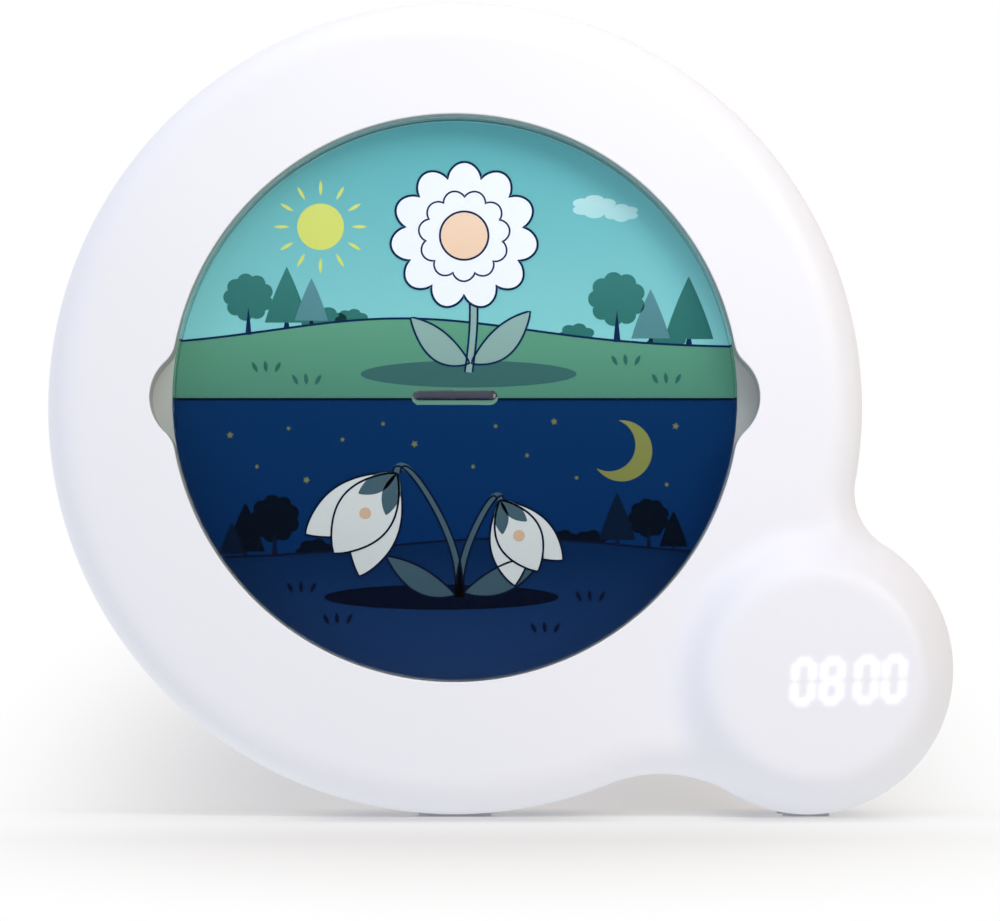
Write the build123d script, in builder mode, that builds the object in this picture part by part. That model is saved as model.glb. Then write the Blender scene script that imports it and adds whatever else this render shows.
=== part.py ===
"""Children's day and night alarm clock: a round lit picture window with a clock dome at its side.

Frame: X to the right, Y to the back, Z up.  The origin is on the standing surface, below the
middle of the housing.  Depths are measured forwards from the middle of the housing, so a depth
of +10 is at Y = -10, and front(depth) is the work plane there, with its normal to the front.
All sizes are in millimetres.
"""
from build123d import *
import math
import os

# ---------------------------------------------------------------- overall form
RING_RADIUS = 90.5            # outer radius of the round housing
DOME_RADIUS = 32.3            # outer radius of the clock dome beside it
DOME_OVERLAP = 25.5           # how far ring and dome circles run into each other
UPPER_WEB_RADIUS = 13.8       # hollow curve that joins ring and dome above
LOWER_WEB_RADIUS = 31.0       # hollow curve that joins ring and dome below
FOOT_STAND = 0.5              # how far the rubber feet hold the housing off the surface
WALL = 2.2                    # moulded wall of both shells
INNER_BEVEL = 0.75            # share of the inside corner that is bevelled off
OVERRUN = 1.0                 # cutters and bars run this far past the faces they meet
EDGE_BAND = 0.5               # edges this near to a depth count as lying on it
SAME_PLACE = 0.01             # anything nearer than this is in the same place

DOME_FACE = 25.0              # depth of the flat clock face on the dome
RING_FACE = 17.0              # depth of the ring's front face
PARTING = -9.0                # depth where front and rear shells meet
REAR_FACE = -25.0             # depth of the flat back
SHOULDER_RADIUS = 9.0         # rounding of the front edge
REAR_EDGE_RADIUS = 5.0        # rounding of the back edge
PLATEAU_RADIUS = 19.5         # flat part of the dome
SWELL_WIDTH = 15.5            # width of the soft slope from the ring face up to the dome face
PLATEAU_SHIFT_X = 2.0         # the flat part sits off the dome's centre, away from the ring
PLATEAU_SHIFT_Z = -1.8

# ---------------------------------------------------------------- window and picture
RIM_WIDTH = 27.7              # from the ring's outside to the window
WINDOW_RISE = 1.5             # window centre above the ring centre
LIP_RADIUS = 2.5              # rounding of the window's front edge
SKIRT_WALL = 1.8              # collar that runs back from the window's edge
SCOOP_RADIUS = 10.5           # finger scoops at three and nine o'clock
SCOOP_REACH = 4.9             # how far a scoop cuts past the window's edge
SCOOP_BLEND = 3.5
COVER_GAP = 0.3               # round the clear cover
COVER_WALL = 1.0
COVER_PANE = 1.6
COVER_EDGE_RADIUS = 0.6
COVER_SINK = 2.8              # pane's front face below the ring face
GRIP_LENGTH = 19.0
GRIP_HEIGHT = 3.2
GRIP_RISE = 1.6
CARD_THICKNESS = 0.4
FRAME_THICKNESS = 2.0
FRAME_BORDER = 10.2           # picture frame's plate reaches this far past the window
FRAME_LEDGE = 2.8             # and this far inside it
CROSSBAR = 1.2                # bar between day picture and night picture
SHEET_GAP = 0.2               # round the diffusers
TRAY_WALL = 1.6
TRAY_DEPTH = 9.9              # inside depth of the light box
TRAY_RIM = 2.0                # light box is this much narrower than the frame's hole
TRAY_TAPER = 2.0
SEAT_BEHIND_FACE = 9.1        # picture frame's front face below the ring face

# ---------------------------------------------------------------- lights behind the picture
LED_ROW_RISE = 26.0           # each row of lights, from the crossbar
LED_BOARD_LENGTH = 80.0
LED_BOARD_HEIGHT = 10.0
LED_PITCH = 16.0
LED_COUNT = 5
LED_LENGTH = 3.5
LED_HEIGHT = 2.8
LED_THICKNESS = 0.8
STAKE_RADIUS = 1.2            # moulded stakes that hold the light boards
STAKE_HEAD = 0.6
STAKE_SHIFT = 24.0
BOARD_POST_SPREAD = 60.0      # posts for the main board, across
BOARD_POST_RISES = (9.5, 39.0)    # and above the window's centre

# ---------------------------------------------------------------- fasteners
BOSS_RADIUS = 3.6
SCREW_RADIUS = 1.25
SCREW_HOLE_GAP = 0.05
SCREW_PASS_GAP = 0.35
TIP_ROOM = 1.0                # blind holes go this far past the screw's tip
SCREW_BITE = 12.0             # how far a housing screw reaches into the front shell
EAR_SCREW_BITE = 5.5
POST_SCREW_BITE = 4.0
BOARD_SCREW_BITE = 2.6
HEAD_RADIUS = 2.4
HEAD_HEIGHT = 1.6
SMALL_SCREW_RADIUS = 0.9
SMALL_HEAD_RADIUS = 1.7
SMALL_HEAD_HEIGHT = 1.1
SMALL_BOSS_RADIUS = 2.2
HOUSING_BOSS_INSET = 10.5     # housing screws, in from the ring's outside
HOUSING_BOSS_ANGLES = (28, 152, 205, 262)
DOME_BOSS_INSET = 11.5        # fifth housing screw, in from the dome's outside
DOME_BOSS_ANGLE = -71
BOSS_RIB = 1.2                # ribs that tie the housing bosses to the side wall
COUNTERBORE_DEPTH = 9.0
COUNTERBORE_GAP = 0.8
EAR_REACH = 14.2              # light box screws, out from the window's edge
EAR_ANGLES = (60, 120, 240, 300)
EAR_RADIUS = 4.6

# ---------------------------------------------------------------- battery bay
CELL_RADIUS = 7.1
CELL_LENGTH = 49.2
CELL_NUB_RADIUS = 2.7
CELL_NUB = 1.2
CELL_EDGE = 0.5
CELL_PITCH = 15.0
CELL_NAMES = ("battery_cell_lower", "battery_cell_middle", "battery_cell_upper")
CELL_TURNS = (1, -1, 1)       # nub to the right, to the left, to the right
CELL_GAP = 0.2                # cell to the bay's floor
CELL_RIB = 1.0                # ribs on the bay's floor between the cells
CELL_RIB_HEIGHT = 3.0
BAY_LENGTH = 58.0
BAY_WALL = 1.6
BAY_DROP = 33.0               # bay centre below the ring centre
BAY_FLOOR = -8.2              # depth of the bay's floor
BAY_RIM = 5.0                 # frame round the bay opening
DOOR_THICKNESS = 1.8
DOOR_LEDGE = 2.0
DOOR_GAP = 0.3
DOOR_CORNER = 3.0
HOOK_WIDTH = 8.0
HOOK_REACH = 2.4
HOOK_THICKNESS = 1.1
HOOK_SPACING = 34.0
HOOK_SWING = 0.6              # room past the hook's tip
LUG_RADIUS = 5.0
LUG_DROP = 2.0                # lug centre below the door's lower edge
LUG_THICKNESS = 3.4
LUG_SCREW_BITE = 3.0
LUG_HOLE_GAP = 0.6            # wide, because the screw swings out with the door
LUG_BOSS = 7.0
CONTACT_THICKNESS = 0.4
CONTACT_SIDE = 11.0
SPRING_WIRE_RADIUS = 0.35
SPRING_WIRE_SIDES = 6
SPRING_BASE_RADIUS = 4.6
SPRING_TIP_RADIUS = 2.8
SPRING_TURNS = 3
SPRING_GAP = 0.05

# ---------------------------------------------------------------- electronics and controls
BOARD_THICKNESS = 1.6
BOARD_LENGTH = 92.0
BOARD_HEIGHT = 40.0
BOARD_RISE = 27.0             # main board centre above the ring centre
BOARD_FRONT = -9.0            # depth of the main board's front face
BOARD_CORNER = 2.0
CHIP_SIDE = 10.0
CHIP_THICKNESS = 1.5
CAPACITOR_RADIUS = 3.0
CAPACITOR_LENGTH = 6.5
CAPACITOR_SHIFT = 18.0
CONNECTOR_LENGTH = 8.0
CONNECTOR_HEIGHT = 5.0
CONNECTOR_THICKNESS = 5.5
CONNECTOR_SHIFT = 40.0
COMPONENT_ROW = 13.0          # components below the board's centre line
PANEL_LENGTH = 92.0
PANEL_HEIGHT = 15.0
PANEL_SINK = 1.5              # control panel below the back face
PANEL_RISE = 31.0             # panel centre above the ring centre
BUTTON_RADIUS = 4.2
BUTTON_GAP = 0.25
BUTTON_PROUD = 1.2
BUTTON_TRAVEL = 1.0
BUTTON_PITCH = 14.0
BUTTON_NAMES = ("clock_button", "alarm_button", "minus_button", "plus_button")
STEM_RADIUS = 1.8
FLANGE_GAP = 0.3
FLANGE_THICKNESS = 1.0
SWITCH_SIDE = 6.0
SWITCH_BODY = 3.5
SWITCH_PLUNGER_RADIUS = 1.75
SWITCH_PLUNGER = 1.5
STEM_GAP = 0.1                # stem to plunger at full travel
BUTTON_START = -34.0          # first button from the ring's middle plane
CAP_EDGE_RADIUS = 0.8
SLIDER_TRAVEL = 2.0
SLIDER_WIDTH = 4.0
SLIDER_HEIGHT = 3.0
SLIDER_SHIFT = 32.0           # slide switch from the ring's middle plane
SLIDER_PROUD = 1.0
SLIDER_BODY_LENGTH = 11.0
SLIDER_BODY_HEIGHT = 5.0
RUNNING_GAP = 0.3
SPEAKER_RADIUS = 20.0
SPEAKER_INSET = 12.3          # speaker's edge from the ring's inside
SPEAKER_DROP = 11.0
SPEAKER_FLANGE = 1.2
BASKET_RADIUS = 17.0
BASKET_DEPTH = 7.0
BASKET_WALL = 1.0
CONE_THICKNESS = 0.5
CONE_ROOM = 0.5               # free space before and behind the cone
SURROUND_WIDTH = 1.8
CAP_RADIUS = 6.0
SPEAKER_SCREW_ANGLES = (90, 210, 330)
SPEAKER_BOSS_SHIFT = 1.1      # screws outside the speaker's edge, their heads over its flange
CLAMP_HEAD_RADIUS = 2.5
SPEAKER_HOLE_FLOOR = 0.7      # wall left behind the speaker's screw holes
MAGNET_RADIUS = 9.5
MAGNET_THICKNESS = 4.5
GRILLE_RADIUS = 15.0
GRILLE_PITCH = 4.2
GRILLE_SLOT = 1.8
GRILLE_COUNT = 7
JACK_SHIFT = -50.0
JACK_DROP = 38.0
JACK_WIDTH = 9.0
JACK_HEIGHT = 11.0
JACK_LENGTH = 11.0
JACK_BORE = 3.0
JACK_PIN_RADIUS = 0.9
JACK_BACK_WALL = 2.0
JACK_PIN_SINK = 1.0           # pin's tip below the jack's mouth
JACK_OPENING = 4.2
JACK_BOARD_WIDTH = 16.0
JACK_BOARD_THICKNESS = 1.2
CRADLE_WALL = 1.4
DISPLAY_LENGTH = 28.0
DISPLAY_HEIGHT = 12.6
DISPLAY_THICKNESS = 6.0
DISPLAY_SHIFT = 5.5           # digits sit towards the outside of the plateau
DISPLAY_GAP = 0.3             # display to the thin wall that its digits shine through
DIGIT_WALL = 1.0              # that wall, in a recess inside the dome
FILM_THICKNESS = 0.2
DISPLAY_BOARD_RADIUS = 20.5
DOME_POCKET_RADIUS = 22.5
DOME_POCKET_EDGE = 1.5
POST_CIRCLE = 17.0
POST_ANGLES = (100, 180, 240)
POST_CLEARANCE = 0.8          # board notch round the dome's screw boss

# ---------------------------------------------------------------- feet and hanger
FOOT_LENGTH = 9.0
FOOT_SUNK = 0.8
FOOT_CORNER = 2.0
FOOT_GAP = 0.1
RING_FOOT_WIDTH = 16.0
DOME_FOOT_WIDTH = 10.0
FRONT_FOOT_DEPTH = 3.0        # middle of the front feet
REAR_FOOT_DEPTH = -15.0
TONGUE_THICKNESS = 1.2
TONGUE_LENGTH = 2.0
TONGUE_GAP = 0.15
TONGUE_ROOT = 3.0
HANGER_INSET = 20.0           # keyhole's head from the ring's outside
HANGER_HEAD_RADIUS = 4.2
HANGER_SLOT = 4.4
HANGER_RISE = 8.0
HANGER_POCKET = 5.0
HANGER_WALL = 1.2
SHADOW_GAP = 0.6              # groove round the joint of the shells
SHADOW_DEPTH = 0.4

# ---------------------------------------------------------------- derived places
DOME_REACH = math.sqrt((RING_RADIUS + DOME_RADIUS - DOME_OVERLAP) ** 2
                       - (RING_RADIUS - DOME_RADIUS) ** 2)
RING_X = (RING_RADIUS - DOME_REACH - DOME_RADIUS) / 2
RING_Z = RING_RADIUS + FOOT_STAND
DOME_X = RING_X + DOME_REACH
DOME_Z = DOME_RADIUS + FOOT_STAND
PLATEAU_X = DOME_X + PLATEAU_SHIFT_X
PLATEAU_Z = DOME_Z + PLATEAU_SHIFT_Z
WINDOW_RADIUS = RING_RADIUS - RIM_WIDTH
WINDOW_Z = RING_Z + WINDOW_RISE
COVER_RADIUS = WINDOW_RADIUS - COVER_GAP
FRAME_RADIUS = WINDOW_RADIUS + FRAME_BORDER
FRAME_HOLE_RADIUS = WINDOW_RADIUS - FRAME_LEDGE
TRAY_FRONT_RADIUS = FRAME_HOLE_RADIUS - TRAY_RIM
TRAY_BACK_RADIUS = TRAY_FRONT_RADIUS - TRAY_TAPER
SEAT = RING_FACE - SEAT_BEHIND_FACE
COVER_FRONT = RING_FACE - COVER_SINK
CARD_FRONT = SEAT + CARD_THICKNESS
FRAME_BACK = SEAT - FRAME_THICKNESS
TRAY_FLOOR = FRAME_BACK - TRAY_DEPTH
TRAY_BACK = TRAY_FLOOR - TRAY_WALL
BAY_Z = RING_Z - BAY_DROP
BAY_HEIGHT = CELL_PITCH * len(CELL_NAMES)
BAY_LEFT = RING_X - BAY_LENGTH / 2
BAY_RIGHT = RING_X + BAY_LENGTH / 2
CELL_DEPTH = BAY_FLOOR - CELL_RADIUS - CELL_GAP
CELL_Z = [BAY_Z - BAY_HEIGHT / 2 + (i + 0.5) * CELL_PITCH for i in range(len(CELL_NAMES))]
SPRING_ROOM = BAY_LENGTH - 2 * CONTACT_THICKNESS - CELL_LENGTH - CELL_NUB
SPRING_CLIMB = SPRING_ROOM - 2 * SPRING_WIRE_RADIUS - 2 * SPRING_GAP
LUG_Z = BAY_Z - BAY_HEIGHT / 2 - DOOR_LEDGE - LUG_DROP
LUG_SEAT = REAR_FACE + LUG_THICKNESS
DOOR_INNER = REAR_FACE + DOOR_THICKNESS
DOOR_LENGTH = BAY_LENGTH + 2 * DOOR_LEDGE
DOOR_HEIGHT = BAY_HEIGHT + 2 * DOOR_LEDGE
BAY_EDGE_LENGTH = DOOR_LENGTH + 2 * WALL
BAY_EDGE_HEIGHT = DOOR_HEIGHT + 2 * WALL
HINGE_Z = BAY_Z + DOOR_HEIGHT / 2
BOARD_Z = RING_Z + BOARD_RISE
BOARD_BACK = BOARD_FRONT - BOARD_THICKNESS
COMPONENT_Z = BOARD_Z - COMPONENT_ROW
PANEL_Z = RING_Z + PANEL_RISE
PANEL_FACE = REAR_FACE + PANEL_SINK
PANEL_INNER = PANEL_FACE + WALL
SPEAKER_X = RING_X + RING_RADIUS - WALL - SPEAKER_INSET - SPEAKER_RADIUS
SPEAKER_Z = RING_Z - SPEAKER_DROP
JACK_X = RING_X + JACK_SHIFT
JACK_Z = RING_Z - JACK_DROP
JACK_BOARD_Z = JACK_Z - JACK_HEIGHT / 2 - JACK_BOARD_THICKNESS / 2
DISPLAY_X = PLATEAU_X + DISPLAY_SHIFT
DISPLAY_FRONT = DOME_FACE - DIGIT_WALL - DISPLAY_GAP
DISPLAY_BACK = DISPLAY_FRONT - DISPLAY_THICKNESS
FLANGE_REAR = PANEL_INNER + FLANGE_GAP
SWITCH_TOP = BOARD_BACK - SWITCH_BODY
STEM_END = SWITCH_TOP - SWITCH_PLUNGER - STEM_GAP - BUTTON_TRAVEL
BUTTON_X = [RING_X + BUTTON_START + i * BUTTON_PITCH for i in range(len(BUTTON_NAMES))]
SLIDER_X = RING_X + SLIDER_SHIFT
COUNTERBORE_SEAT = REAR_FACE + COUNTERBORE_DEPTH
HANGER_Z = RING_Z + RING_RADIUS - HANGER_INSET
REAR_INNER = REAR_FACE + WALL

os.makedirs("parts", exist_ok=True)


def front(depth, x=0.0, z=0.0):
    """Work plane that faces the front at a depth, with its origin over (x, z)."""
    return Plane(origin=(x, -depth, z), x_dir=(1, 0, 0), z_dir=(0, -1, 0))


def save(piece, label):
    """Name a finished piece and write it."""
    piece.label = label
    export_step(piece, f"parts/{label}.step")


def bearing(start, end):
    """Angle in degrees of the line from one point to another."""
    return math.degrees(math.atan2(end[1] - start[1], end[0] - start[0]))


def web_centre(big, big_radius, small, small_radius, web_radius, side):
    """Centre of the hollow arc that is tangent to two crossing circles, on one side of them."""
    gap = math.dist(big, small)
    reach = big_radius + web_radius
    turn = math.acos((gap**2 + reach**2 - (small_radius + web_radius) ** 2) / (2 * gap * reach))
    angle = math.radians(bearing(big, small)) + side * turn
    return big[0] + reach * math.cos(angle), big[1] + reach * math.sin(angle)


def housing_outline(inset=0.0):
    """Outline of ring, dome and the two hollow webs, moved inwards by inset."""
    ring = (RING_X, RING_Z)
    dome = (DOME_X, DOME_Z)
    ring_radius = RING_RADIUS - inset
    dome_radius = DOME_RADIUS - inset
    upper_radius = UPPER_WEB_RADIUS + inset
    lower_radius = LOWER_WEB_RADIUS + inset
    upper = web_centre(ring, ring_radius, dome, dome_radius, upper_radius, 1)
    lower = web_centre(ring, ring_radius, dome, dome_radius, lower_radius, -1)
    ring_start = bearing(ring, upper)
    dome_start = bearing(dome, lower)
    lower_start = bearing(lower, ring)
    upper_start = bearing(upper, dome)
    CenterArc(ring, ring_radius, ring_start, (bearing(ring, lower) - ring_start) % 360)
    CenterArc(lower, lower_radius, lower_start, -((lower_start - bearing(lower, dome)) % 360))
    CenterArc(dome, dome_radius, dome_start, (bearing(dome, upper) - dome_start) % 360)
    CenterArc(upper, upper_radius, upper_start, -((upper_start - bearing(upper, ring)) % 360))


def window_outline(grow=0.0):
    """Window circle with a finger scoop at each side, moved outwards by grow."""
    middle = (0.0, 0.0)
    radius = WINDOW_RADIUS + grow
    scoop_radius = SCOOP_RADIUS + grow
    blend = SCOOP_BLEND - grow
    scoop = (WINDOW_RADIUS + SCOOP_REACH - SCOOP_RADIUS, 0.0)
    upper = web_centre(middle, radius, scoop, scoop_radius, blend, 1)
    window_end = bearing(middle, upper)
    blend_start = bearing(upper, middle)
    scoop_end = bearing(scoop, upper)
    CenterArc(middle, radius, window_end, 90 - window_end)
    CenterArc(upper, blend, blend_start, (bearing(upper, scoop) - blend_start) % 360)
    CenterArc(scoop, scoop_radius, 0, scoop_end)
    mirror(about=Plane.XZ)
    mirror(about=Plane.YZ)


def outline_prism(near, far, inset, mode=Mode.ADD):
    """Housing outline as a prism between two depths."""
    with BuildSketch(front(near)) as profile:
        with BuildLine():
            housing_outline(inset)
        make_face()
    extrude(profile.sketch, amount=far - near, mode=mode)


def window_prism(near, far, grow, mode=Mode.ADD):
    """Window outline as a prism between two depths."""
    with BuildSketch(front(near, RING_X, WINDOW_Z)) as profile:
        with BuildLine():
            window_outline(grow)
        make_face()
    extrude(profile.sketch, amount=far - near, mode=mode)


def disc(near, far, radius, x, z, mode=Mode.ADD):
    """Round bar along the depth between two depths."""
    with BuildSketch(front(near, x, z)) as profile:
        Circle(radius)
    extrude(profile.sketch, amount=far - near, mode=mode)


def slab(near, far, width, height, x, z, corner=0.0, mode=Mode.ADD):
    """Plate or block between two depths, with rounded corners."""
    with BuildSketch(front(near, x, z)) as profile:
        if corner > 0:
            RectangleRounded(width, height, corner)
        else:
            Rectangle(width, height)
    extrude(profile.sketch, amount=far - near, mode=mode)


def polar_places(x, z, radius, angles):
    """Points on a circle round (x, z)."""
    turns = [math.radians(angle) for angle in angles]
    return [(x + radius * math.cos(turn), z + radius * math.sin(turn)) for turn in turns]


RING_SCREW_PLACES = polar_places(
    RING_X, RING_Z, RING_RADIUS - HOUSING_BOSS_INSET, HOUSING_BOSS_ANGLES)
DOME_SCREW_PLACES = polar_places(
    DOME_X, DOME_Z, DOME_RADIUS - DOME_BOSS_INSET, (DOME_BOSS_ANGLE,))
EAR_PLACES = polar_places(RING_X, WINDOW_Z, WINDOW_RADIUS + EAR_REACH, EAR_ANGLES)
POST_PLACES = polar_places(PLATEAU_X, PLATEAU_Z, POST_CIRCLE, POST_ANGLES)
SPEAKER_SCREW_PLACES = polar_places(
    SPEAKER_X, SPEAKER_Z, SPEAKER_RADIUS + SPEAKER_BOSS_SHIFT, SPEAKER_SCREW_ANGLES)
BOARD_POSTS = [(RING_X + side * BOARD_POST_SPREAD / 2, WINDOW_Z + rise)
               for side in (-1, 1) for rise in BOARD_POST_RISES]
STAKE_PLACES = [(RING_X + side * STAKE_SHIFT, WINDOW_Z + row * LED_ROW_RISE)
                for row in (1, -1) for side in (-1, 1)]
HOOK_PLACES = [RING_X - HOOK_SPACING / 2, RING_X + HOOK_SPACING / 2]
HOUSING_SCREW_PLACES = RING_SCREW_PLACES + DOME_SCREW_PLACES
HOUSING_SCREW_ANGLES = HOUSING_BOSS_ANGLES + (DOME_BOSS_ANGLE,)


# ---------------------------------------------------------------- front shell
def foot_places(depth):
    """Middle and width of the ring foot and of the dome foot at a depth."""
    return [(RING_X, -depth, RING_FOOT_WIDTH), (DOME_X, -depth, DOME_FOOT_WIDTH)]


def foot_blocks(depth, gap, mode=Mode.ADD):
    """Feet, or the pockets for them, as blocks that stand on the surface."""
    for x, y, width in foot_places(depth):
        with BuildSketch(Plane.XY.move(Location((x, y, 0)))) as profile:
            RectangleRounded(width + 2 * gap, FOOT_LENGTH + 2 * gap, FOOT_CORNER)
        extrude(profile.sketch, amount=FOOT_STAND + FOOT_SUNK, mode=mode)


def boss_ribs(near, far):
    """Ribs between two depths that run outwards from the housing bosses to the side wall."""
    for place, angle in zip(HOUSING_SCREW_PLACES, HOUSING_SCREW_ANGLES):
        with BuildSketch(front(near, *place)) as profile:
            Rectangle(HOUSING_BOSS_INSET - WALL / 2, BOSS_RIB, rotation=angle,
                      align=(Align.MIN, Align.CENTER))
        extrude(profile.sketch, amount=far - near)


def front_rim(body, depth):
    """Edges of the side wall's front rim."""
    walls = body.faces().filter_by(lambda face: abs(face.normal_at().Y) < SAME_PLACE)
    rims = walls.edges().filter_by(Axis.Y, reverse=True)
    return rims.filter_by(lambda edge: edge.center().Y < EDGE_BAND - depth)


with BuildPart() as front_hollow:
    outline_prism(PARTING, RING_FACE - WALL, WALL)
    chamfer(front_rim(front_hollow, RING_FACE - WALL), INNER_BEVEL * (SHOULDER_RADIUS - WALL))

with BuildPart() as dome_pocket:
    disc(0, DOME_FACE - WALL, DOME_POCKET_RADIUS, PLATEAU_X, PLATEAU_Z)
    chamfer(dome_pocket.edges().sort_by(Axis.Y)[0], DOME_POCKET_EDGE)
    slab(DISPLAY_BACK, DOME_FACE - DIGIT_WALL, DISPLAY_LENGTH + 2 * RUNNING_GAP,
         DISPLAY_HEIGHT + 2 * RUNNING_GAP, DISPLAY_X, PLATEAU_Z)

with BuildPart() as front_shell:
    outline_prism(PARTING, DOME_FACE, 0)
    swell_plane = Plane(origin=(PLATEAU_X, 0, PLATEAU_Z), x_dir=(-1, 0, 0), z_dir=(0, 0, 1))
    swell_foot = PLATEAU_RADIUS + SWELL_WIDTH
    swell_middle = PLATEAU_RADIUS + SWELL_WIDTH / 2
    far_out = 2 * (RING_RADIUS + DOME_RADIUS)
    with BuildSketch(swell_plane):
        with BuildLine():
            Polyline((PLATEAU_RADIUS, DOME_FACE), (PLATEAU_RADIUS, DOME_FACE + OVERRUN),
                     (far_out, DOME_FACE + OVERRUN), (far_out, RING_FACE),
                     (swell_foot, RING_FACE))
            Bezier((swell_foot, RING_FACE), (swell_middle, RING_FACE),
                   (swell_middle, DOME_FACE), (PLATEAU_RADIUS, DOME_FACE))
        make_face()
    revolve(axis=Axis((PLATEAU_X, 0, PLATEAU_Z), (0, 1, 0)), mode=Mode.SUBTRACT)
    fillet(front_rim(front_shell, RING_FACE), SHOULDER_RADIUS)
    add(front_hollow.part, mode=Mode.SUBTRACT)
    add(dome_pocket.part, mode=Mode.SUBTRACT)
    window_prism(SEAT, RING_FACE - WALL / 2, SKIRT_WALL)
    for place in RING_SCREW_PLACES:
        disc(PARTING, RING_FACE - WALL / 2, BOSS_RADIUS, *place)
    for place in DOME_SCREW_PLACES:
        disc(PARTING, DOME_FACE - WALL / 2, BOSS_RADIUS, *place)
    boss_ribs(PARTING + TONGUE_LENGTH + RUNNING_GAP, RING_FACE - SHOULDER_RADIUS)
    for place in EAR_PLACES:
        disc(SEAT, RING_FACE - WALL / 2, BOSS_RADIUS, *place)
    for place in POST_PLACES:
        disc(DISPLAY_BACK, DOME_FACE - WALL / 2, SMALL_BOSS_RADIUS, *place)
    for place in HOUSING_SCREW_PLACES:
        disc(PARTING, PARTING + SCREW_BITE + TIP_ROOM, SCREW_RADIUS + SCREW_HOLE_GAP, *place,
             mode=Mode.SUBTRACT)
    for place in EAR_PLACES:
        disc(SEAT, RING_FACE - WALL, SCREW_RADIUS + SCREW_HOLE_GAP, *place, mode=Mode.SUBTRACT)
    for place in POST_PLACES:
        disc(DISPLAY_BACK, DISPLAY_BACK + POST_SCREW_BITE + TIP_ROOM,
             SMALL_SCREW_RADIUS + SCREW_HOLE_GAP, *place, mode=Mode.SUBTRACT)
    foot_blocks(FRONT_FOOT_DEPTH, FOOT_GAP, mode=Mode.SUBTRACT)
    window_prism(SEAT, RING_FACE + OVERRUN, 0, mode=Mode.SUBTRACT)
    window_middle = Vector(RING_X, -RING_FACE, WINDOW_Z)
    swell_centre = Vector(PLATEAU_X, -RING_FACE, PLATEAU_Z)
    window_reach = WINDOW_RADIUS + SCOOP_REACH + OVERRUN
    lip = front_shell.edges().filter_by_position(
        Axis.Y, -RING_FACE - SAME_PLACE, -RING_FACE + SAME_PLACE)
    lip = lip.filter_by(
        lambda edge: (edge.center() - window_middle).length < window_reach
        and (edge.center() - swell_centre).length > swell_foot + SAME_PLACE)
    fillet(lip, LIP_RADIUS)
save(front_shell.part, "front_shell")


# ---------------------------------------------------------------- rear shell
def rear_rim(body, depth):
    """Edges of the side wall's back rim."""
    walls = body.faces().filter_by(lambda face: abs(face.normal_at().Y) < SAME_PLACE)
    rims = walls.edges().filter_by(Axis.Y, reverse=True)
    return rims.filter_by(lambda edge: edge.center().Y > -EDGE_BAND - depth)


with BuildPart() as rear_hollow:
    outline_prism(REAR_INNER, PARTING, WALL)
    chamfer(rear_rim(rear_hollow, REAR_INNER), INNER_BEVEL * (REAR_EDGE_RADIUS - WALL))

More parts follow.
